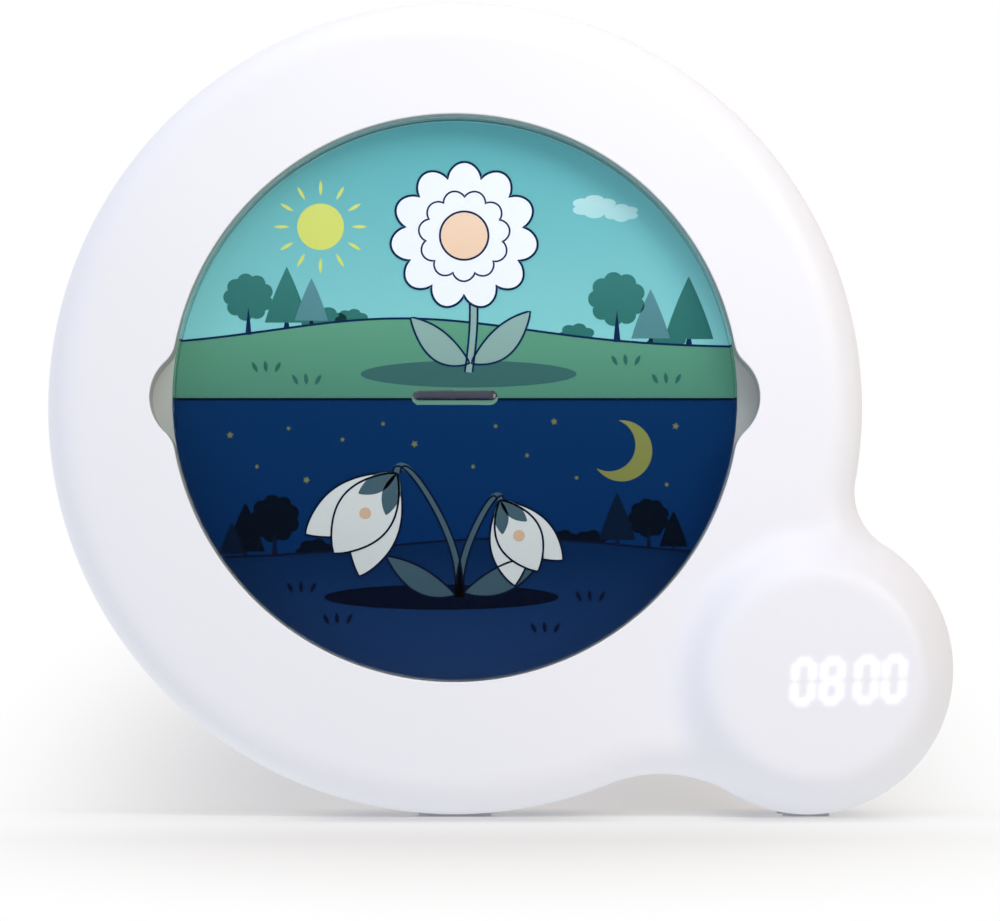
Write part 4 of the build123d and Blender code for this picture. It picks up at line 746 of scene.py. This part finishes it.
def day_picture():
    """Sunny meadow with one tall daisy."""
    line = ink("ink_day_line", "#10284E", "#10284E", 0, 1, DAY_GLOW)
    height = hill(11.5, 6.5, -12, 40)
    printed("day_sky", ink("ink_day_sky", "#80C7CB", "#60AEB8", 14, 60, DAY_GLOW),
            [half_disc(1, 1)])
    meadow, ridge = ground(height, 0.0, 3)
    printed("day_meadow", ink("ink_day_meadow", "#4B826F", "#5E9C82", 0, 20, DAY_GLOW), [meadow])
    landscape("day", height, trees=((-46, 5.6), (36, 6.4)),
              bushes=((-29, 5.2), (-23, 3.8), (27, 4.2), (47, 4.6)),
              firs=((-37.5, 12.5), (-32, 9.5), (52, 14.0), (43.5, 11.0)),
              tree_ink=ink("ink_day_tree", "#2C6A66", "#3B7C79", 10, 34, DAY_GLOW),
              far_ink=ink("ink_day_far_tree", "#4F8088", "#5C909A", 10, 34, DAY_GLOW),
              line_ink=line)
    round_one = lobed(1, 0)
    sun = complex(-30, 38.5)
    rays = [fan(turned(leaf(3.4, 0.75), sun + turned(7.0, turn=turn), turn), 2)
            for turn in range(0, 360, 30)]
    printed("day_sun", ink("ink_day_sun", "#CFD86E", "#D6DD78", 30, 45, DAY_GLOW),
            [fan(sun + 5.2 * round_one, 3)] + rays)
    printed("day_clouds", ink("ink_day_cloud", "#A9D9DF", "#BFE4E8", 40, 48, DAY_GLOW),
            [fan(complex(31, 43) + 5.2 * lobed(6, 0.22, 0.5), 2),
             fan(complex(37, 41.6) + 4.0 * lobed(6, 0.22, 0.5), 3)])
    printed("day_shadow", ink("ink_day_shadow", "#36605F", "#3A6665", 0, 12, DAY_GLOW),
            [fan(complex(3, 5.6) + 24 * round_one.real + 3.0j * round_one.imag, 4)])
    printed("day_tufts", ink("ink_day_tuft", "#2F625A", "#2F625A", 0, 1, DAY_GLOW),
            tufts(((-42, 6.0), (-33, 3.2), (38, 7.5), (47, 3.4)), 2.6, 5))
    head = complex(2.0, 36.5)
    step = np.linspace(0, 1, 30)
    stem = complex(3, 6) * (1 - step) + head * step + 1.6 * np.sin(math.pi * step)
    leaves = [turned(leaf(17, 6.5, 4.0), complex(3.6, 8), 28),
              turned(leaf(16, 6.5, -4.5), complex(3.2, 8), 158)]
    petals = turned(16.5 * lobed(11, 0.2, count=264), head, 8)
    inner = turned(10.2 * lobed(11, 0.16, count=264), head, 24)
    printed("day_leaves", ink("ink_day_leaf", "#7C9C98", "#8FB0AC", 0, 25, DAY_GLOW),
            [fan(shape, 5) for shape in leaves] + [stroke(stem, 1.7, 5, closed=False)])
    printed("day_petals", ink("ink_day_white", "#E9EEF9", "#F2F5FC", 0, 60, DAY_GLOW),
            [fan(petals, 7)])
    printed("day_centre", ink("ink_day_centre", "#EBC8AF", "#F0D2BA", 28, 42, DAY_GLOW),
            [fan(head + 5.4 * round_one, 8)])
    printed("day_lines", line,
            [ridge, stroke(petals, 0.5, 8), stroke(inner, 0.4, 8),
             stroke(head + 5.4 * round_one, 0.45, 9)]
            + [stroke(shape, 0.45, 6) for shape in leaves]
            + [stroke(stem + side * 0.85, 0.45, 6, closed=False) for side in (-1, 1)])


def bud(foot, turn, length):
    """Closed flower in print: outlines of its back petals, front petal and small green cup."""
    back = [turned(leaf(length, 0.5 * length, side * 0.16 * length), foot, turn + side * 9)
            for side in (-1, 1)]
    front = turned(leaf(0.94 * length, 0.52 * length), foot, turn)
    cup = [turned(leaf(0.4 * length, 0.17 * length), foot, turn + side * 24)
           for side in (-1, 1)]
    return back, front, cup


def night_picture():
    """The meadow at night, its flowers closed and bowed."""
    line = ink("ink_night_line", "#0A1530", "#0A1530", -60, 0)
    height = hill(-35.5, 4.5, 12, 40)
    printed("night_sky", ink("ink_night_sky", "#032A5C", "#083465", -40, 0), [half_disc(-1, 1)])
    meadow, ridge = ground(height, -PRINT_RADIUS / MM, 3)
    printed("night_meadow", ink("ink_night_meadow", "#1D3B6B", "#06264F", -60, -34), [meadow])
    landscape("night", height, trees=((-40, 5.6), (43, 4.6)),
              bushes=((-31, 4.4), (30, 4.0), (24, 3.4)),
              firs=((-46.5, 11.0), (-49.5, 7.0), (48.5, 8.0), (36, 10.5)),
              tree_ink=ink("ink_night_tree", "#040E1C", "#050F1E", -38, -20),
              far_ink=ink("ink_night_far_tree", "#07182E", "#081A33", -38, -20), line_ink=line)
    outer, inner = (turned(arc, complex(37, -11.5), 155, 6.8) for arc in crescent())
    printed("night_moon", ink("ink_night_moon", "#7E8449", "#8A8F50", -20, -4),
            [band(outer, inner[::-1], 2)])
    spots = ((-50, -8), (-44, -15), (-37, -6.5), (-33, -18), (-25, -9), (-16, -5.5), (-9, -10),
             (9, -6), (16, -12.5), (22, -5), (27, -17.5), (47, -19), (49, -6), (4, -15))
    stars = [fan(turned(star(), complex(*spot), 17 * count, 0.62 + 0.3 * (count % 3 == 0)), 2)
             for count, spot in enumerate(spots)]
    printed("night_stars", ink("ink_night_star", "#75794E", "#75794E", -20, 0), stars)
    round_one = lobed(1, 0)
    printed("night_shadow", ink("ink_night_shadow", "#050E22", "#050E22", -60, -30),
            [fan(complex(-3, -44) + 26 * round_one.real + 2.8j * round_one.imag, 4)])
    printed("night_tufts", ink("ink_night_tuft", "#06142F", "#06142F", -60, -30),
            tufts(((-34, -43), (-26, -50), (30, -45), (20, -52)), 2.6, 5))
    feet = (complex(-13, -16.5), complex(10, -22.5))
    buds = [bud(feet[0], 232, 24), bud(feet[1], -62, 19)]
    step = np.linspace(0, 1, 40)
    swing = np.sin(math.pi * step / 2) ** 3
    root = complex(1, -44)
    stems = [root + (foot - root).real * swing
             + 1j * ((foot - root).imag * step + rise * np.sin(math.pi * step**2))
             for foot, rise in zip(feet, (7.5, 5.5))]
    leaves = [turned(leaf(19, 6.0, 3.5), complex(2, -43), 14),
              turned(leaf(17, 5.5, -4.0), complex(0, -43.5), 164)]
    cups = [outline for _, _, cup in buds for outline in cup]
    backs = [outline for back, _, _ in buds for outline in back]
    fronts = [front for _, front, _ in buds]
    printed("night_leaves", ink("ink_night_leaf", "#3D5664", "#48626F", -44, -20),
            [fan(shape, 5) for shape in leaves] + [fan(shape, 9) for shape in cups]
            + [stroke(stem, 1.6, 5, closed=False) for stem in stems])
    printed("night_buds", ink("ink_night_white", "#CBD2D4", "#DDE2E3", -48, -14),
            [fan(shape, 6) for shape in backs] + [fan(shape, 8) for shape in fronts])
    printed("night_blush", ink("ink_night_blush", "#D3B299", "#D3B299", -40, -20),
            [fan(front.mean() + 1.3 * round_one, 9) for front in fronts])
    split = np.linspace(-PRINT_RADIUS / MM, PRINT_RADIUS / MM, 3) + 0j
    printed("night_lines", line,
            [ridge, stroke(split, 0.5, 9, closed=False)]
            + [stroke(shape, 0.45, 7) for shape in backs]
            + [stroke(shape, 0.45, 9) for shape in fronts]
            + [stroke(shape, 0.45, 6) for shape in leaves]
            + [stroke(stem + side * 0.8, 0.4, 6, closed=False) for stem in stems
               for side in (-1, 1)])


day_picture()
night_picture()


def key_mark(node, body, lines):
    """Symbol on the back of a key, as open or closed lines in millimetres seen from behind."""
    low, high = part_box(node)
    middle = complex(low.x + high.x, low.z + high.z) / 2
    shapes = []
    for layer, (line, closed) in enumerate(lines, start=1):
        plan, faces = ribbon(np.asarray(line, complex), MARK_WIDTH, closed)
        shapes.append((place(middle - plan.conj() * MM, -high.y - layer * MARK_STEP), faces))
    printed(f"{node}_mark", pad_ink, shapes, body)


clock_ring = 1.75 * np.exp(1j * np.linspace(0, 2 * math.pi, 60, endpoint=False))
bell_side = np.array([1.55 - 1.0j, 1.15 - 0.5j, 1.0 + 0.35j, 0.62 + 1.1j, 0.0 + 1.4j])
bell = np.concatenate([bell_side, -bell_side[-2::-1].conj()])
key_mark("clock_button", "clock_key", [(clock_ring, True), ([1.15j, 0j], False),
                                       ([-0.1 - 0.1j, 0.85 - 0.5j], False)])
key_mark("alarm_button", "alarm_key", [(bell, True), ([-0.45 - 1.6j, 0.45 - 1.6j], False)])
key_mark("minus_button", "minus_key", [([-1.5, 1.5], False)])
key_mark("plus_button", "plus_key", [([-1.5, 1.5], False), ([-1.5j, 1.5j], False)])

# ---------------------------------------------------------------- camera and light
scene = bpy.context.scene
PICTURE_WIDTH = 1000
CAMERA_FOCUS = 4054  # focal length in picture widths of 1000
CAMERA_PLACE = (0.0001, -0.908, 0.030)
CAMERA_PITCH = math.radians(3.11)
SENSOR = 36.0
AIM = (0.0, 0.0, 0.09)  # middle of the clock
WORLD_LEVEL = 1.05

camera_data = bpy.data.cameras.new("camera")
camera_data.sensor_width = SENSOR
camera_data.lens = SENSOR * CAMERA_FOCUS / PICTURE_WIDTH
camera = bpy.data.objects.new("camera", camera_data)
camera.location = CAMERA_PLACE
camera.rotation_euler = (math.pi / 2 + CAMERA_PITCH, 0, 0)
scene.collection.objects.link(camera)
scene.camera = camera


def area_light(name, location, target, size, power, colour="#FFFFFF", mirrored=True):
    """Soft box of a width and a height that faces a target, seen in glossy faces or not."""
    data = bpy.data.lights.new(name, "AREA")
    data.shape = "RECTANGLE"
    data.size, data.size_y = size
    data.energy = power
    data.color = linear(colour)[:3]
    light = bpy.data.objects.new(name, data)
    way = np.array(target) - np.array(location)
    light.location = location
    light.rotation_euler = Vector(way).to_track_quat("-Z", "Y").to_euler()
    light.visible_glossy = mirrored
    scene.collection.objects.link(light)


area_light("top_box", (-0.25, -0.25, 1.1), AIM, (0.8, 0.8), 2.0, "#FFFBF0")
area_light("right_box", (0.45, -0.55, 0.4), AIM, (0.35, 0.35), 1.6, "#FFEACC")
area_light("near_box", (0.08, -0.30, 0.37), (0.0, 0.0, 0.15), (0.2, 0.2), 0.545, "#FAFDFF",
           mirrored=False)


def studio_world():
    """Room that is bright and cool to the left, dim to the right and dark behind the camera.

    The camera, and what it sees through clear plastic, gets plain white.
    """
    world = bpy.data.worlds.new("studio")
    world.use_nodes = True
    tree = world.node_tree
    tree.nodes.clear()
    way = add(tree, "ShaderNodeTexCoord").outputs["Generated"]
    axes = add(tree, "ShaderNodeSeparateXYZ", {"Vector": way}).outputs
    right = add(tree, "ShaderNodeMapRange", {"Value": axes["X"], "From Min": -1.0})
    tint = add(tree, "ShaderNodeMix",
               {0: right.outputs["Result"], 6: linear("#E3E6FF"), 7: linear("#000000")},
               data_type="RGBA")
    front = add(tree, "ShaderNodeMapRange",
                {"Value": axes["Y"], "From Min": -0.97, "From Max": -0.8, "To Min": 0.04,
                 "To Max": WORLD_LEVEL}, interpolation_type="SMOOTHSTEP")
    path = add(tree, "ShaderNodeLightPath").outputs
    away = add(tree, "ShaderNodeMath", {0: axes["Y"], 1: 0.0}, operation="GREATER_THAN")
    passed = add(tree, "ShaderNodeMath",
                 {0: path["Is Transmission Ray"], 1: away.outputs[0]}, operation="MULTIPLY")
    seen = add(tree, "ShaderNodeMath", {0: path["Is Camera Ray"], 1: passed.outputs[0]},
               operation="MAXIMUM")
    colour = add(tree, "ShaderNodeMix",
                 {0: seen.outputs[0], 6: tint.outputs[2], 7: linear("#FFFFFF")},
                 data_type="RGBA")
    strength = add(tree, "ShaderNodeMapRange",
                   {"Value": seen.outputs[0], "To Min": front.outputs["Result"]})
    light = add(tree, "ShaderNodeBackground",
                {"Color": colour.outputs[2], "Strength": strength.outputs["Result"]})
    add(tree, "ShaderNodeOutputWorld", {"Surface": light.outputs[0]})
    scene.world = world


SWEEP_REACH = 6.0
SWEEP_FOOT = 0.06  # place behind the clock where the paper starts to bend up
SWEEP_BEND = 0.10  # radius of that bend
WHITE_FROM = (("Y", -0.42), ("Z", 0.07), ("X", 0.14))  # reach at which the paper is plain white
SENT_SHARE = 0.7  # of white in the light that the paper sends on to the clock
SENT_LEVEL = 0.92
CONTACTS = ((RING.real, 0.045), (DOME.real, 0.026))  # places the clock stands on, half-widths
APRON_PLACE = -0.055  # lighter floor before the clock
# Smooth steps of the floor's shade: where each starts and is full, its least and its most.
APRON = (0.10, 0.0, 0.22, 0.58)  # by distance from its place
NEAR = (0.055, 0.025, 0.0, 1.0)  # by distance before or behind the clock's middle
BEHIND = (-0.025, 0.035, 0.0, 0.7)
LOW = (0.005, 0.0, 0.0, 1.0)
BESIDE = (0.45, 0.8, 0.0, 1.0)  # as a share of the reach sideways


def white_share(tree, axes, seen):
    """Share of plain white over the paper's own shade.

    It grows away from the clock's foot, is high before the clock and falls to nothing where the
    clock stands, and a low strip beside the clock's back is lifted.  Light that the paper sends
    on to the clock gets a higher share than what is seen.
    """
    before, above, side = (
        add(tree, "ShaderNodeMath", {0: axes[axis], 1: 1 / reach}, operation="MULTIPLY").outputs[0]
        for axis, reach in WHITE_FROM)
    off = add(tree, "ShaderNodeMath", {0: before, 1: above}, operation="MAXIMUM").outputs[0]
    flat = add(tree, "ShaderNodeCombineXYZ", {"X": side, "Y": off}).outputs["Vector"]
    distance = add(tree, "ShaderNodeVectorMath", {0: flat}, operation="LENGTH").outputs["Value"]
    middles = [("Y", APRON_PLACE)] + [("X", spot) for spot, _ in CONTACTS]
    ways = [add(tree, "ShaderNodeMath", {0: axes[axis], 1: spot}, operation="SUBTRACT").outputs[0]
            for axis, spot in middles]
    depth, aside, ahead, *ways = (
        add(tree, "ShaderNodeMath", {0: value}, operation="ABSOLUTE").outputs[0]
        for value in (axes["Y"], side, *ways))
    apron, near, behind, low, beside, *spots = (
        add(tree, "ShaderNodeMapRange",
            {"Value": value, "From Min": zero, "From Max": full, "To Min": least, "To Max": most},
            interpolation_type="SMOOTHSTEP").outputs["Result"]
        for value, (zero, full, least, most) in (
            (ahead, APRON), (depth, NEAR), (axes["Y"], BEHIND), (axes["Z"], LOW), (aside, BESIDE),
            *((way, (width, width / 3, 0.0, 1.0)) for way, (_, width) in zip(ways, CONTACTS))))
    under = add(tree, "ShaderNodeMath", {0: spots[0], 1: spots[1]}, operation="MAXIMUM").outputs[0]
    contact = add(tree, "ShaderNodeMath", {0: under, 1: near}, operation="MULTIPLY").outputs[0]
    bare = add(tree, "ShaderNodeMath", {0: 1.0, 1: contact}, operation="SUBTRACT").outputs[0]
    veil = add(tree, "ShaderNodeMath", {0: apron, 1: bare}, operation="MULTIPLY").outputs[0]
    least = add(tree, "ShaderNodeMapRange",
                {"Value": seen, "To Min": SENT_SHARE, "To Max": veil}).outputs["Result"]
    share = add(tree, "ShaderNodeMapRange",
                {"Value": distance, "From Min": 0.3, "To Min": least},
                interpolation_type="SMOOTHSTEP").outputs["Result"]
    strip = add(tree, "ShaderNodeMath", {0: behind, 1: low}, operation="MULTIPLY").outputs[0]
    strip = add(tree, "ShaderNodeMath", {0: strip, 1: beside}, operation="MULTIPLY").outputs[0]
    return add(tree, "ShaderNodeMath", {0: share, 1: strip}, operation="MAXIMUM").outputs[0]


def matt_paper():
    """Matt paper, plain white away from the clock's foot and there only from its front.

    What it sends on to the clock is a little dimmer, and warm on the right behind the clock.
    """
    material, tree = start_material("matt_paper")
    position = add(tree, "ShaderNodeTexCoord").outputs["Object"]
    axes = add(tree, "ShaderNodeSeparateXYZ", {"Vector": position}).outputs
    path = add(tree, "ShaderNodeLightPath").outputs
    straight = add(tree, "ShaderNodeMath",
                   {0: path["Is Camera Ray"], 1: path["Is Transmission Ray"]}, operation="MAXIMUM")
    seen = add(tree, "ShaderNodeMath",
               {0: straight.outputs[0], 1: path["Is Glossy Ray"]}, operation="MAXIMUM").outputs[0]
    tone = add(tree, "ShaderNodeMix",
               {0: seen, 6: linear("#FAFAFA"), 7: linear("#DADAD9")}, data_type="RGBA")
    paper = add(tree, "ShaderNodeBsdfDiffuse", {"Color": tone.outputs[2]})
    rightwards = add(tree, "ShaderNodeMapRange",
                     {"Value": axes["X"], "From Min": -0.05, "From Max": 0.12}).outputs["Result"]
    backwards = add(tree, "ShaderNodeMapRange",
                    {"Value": axes["Y"], "From Max": SWEEP_FOOT}).outputs["Result"]
    warmth = add(tree, "ShaderNodeMath", {0: rightwards, 1: backwards}, operation="MULTIPLY")
    room = add(tree, "ShaderNodeMix",
               {0: warmth.outputs[0], 6: linear("#FFFFFF"), 7: linear("#E0D0C3")},
               data_type="RGBA").outputs[2]
    glare = add(tree, "ShaderNodeMix", {0: seen, 6: room, 7: linear("#FFFFFF")},
                data_type="RGBA").outputs[2]
    level = add(tree, "ShaderNodeMapRange", {"Value": seen, "To Min": SENT_LEVEL})
    white = add(tree, "ShaderNodeEmission", {"Color": glare, "Strength": level.outputs["Result"]})
    front = add(tree, "ShaderNodeMixShader",
                {0: white_share(tree, axes, seen), 1: paper.outputs[0], 2: white.outputs[0]})
    away = add(tree, "ShaderNodeNewGeometry").outputs["Backfacing"]
    gone = add(tree, "ShaderNodeBsdfTransparent")
    mix = add(tree, "ShaderNodeMixShader", {0: away, 1: front.outputs[0], 2: gone.outputs[0]})
    finish_material(tree, mix.outputs[0])
    return material


def studio_sweep():
    """Paper under the clock that bends up behind it: a floor, a quarter circle and a wall."""
    turn = np.linspace(0, math.pi / 2, 25)
    depth = np.concatenate([[-SWEEP_REACH], SWEEP_FOOT + SWEEP_BEND * np.sin(turn),
                            [SWEEP_FOOT + SWEEP_BEND]])
    height = np.concatenate([[0.0], SWEEP_BEND * (1 - np.cos(turn)), [SWEEP_REACH]])
    points = [(x, y, z) for y, z in zip(depth, height) for x in (-SWEEP_REACH, SWEEP_REACH)]
    mesh = bpy.data.meshes.new("sweep")
    mesh.from_pydata(points, [], grid_faces(len(depth), 2).tolist())
    mesh.polygons.foreach_set("use_smooth", np.ones(len(mesh.polygons), bool))
    mesh.materials.append(matt_paper())
    sweep = bpy.data.objects.new("sweep", mesh)
    scene.collection.objects.link(sweep)


studio_world()
studio_sweep()
scene.view_settings.view_transform = "Standard"
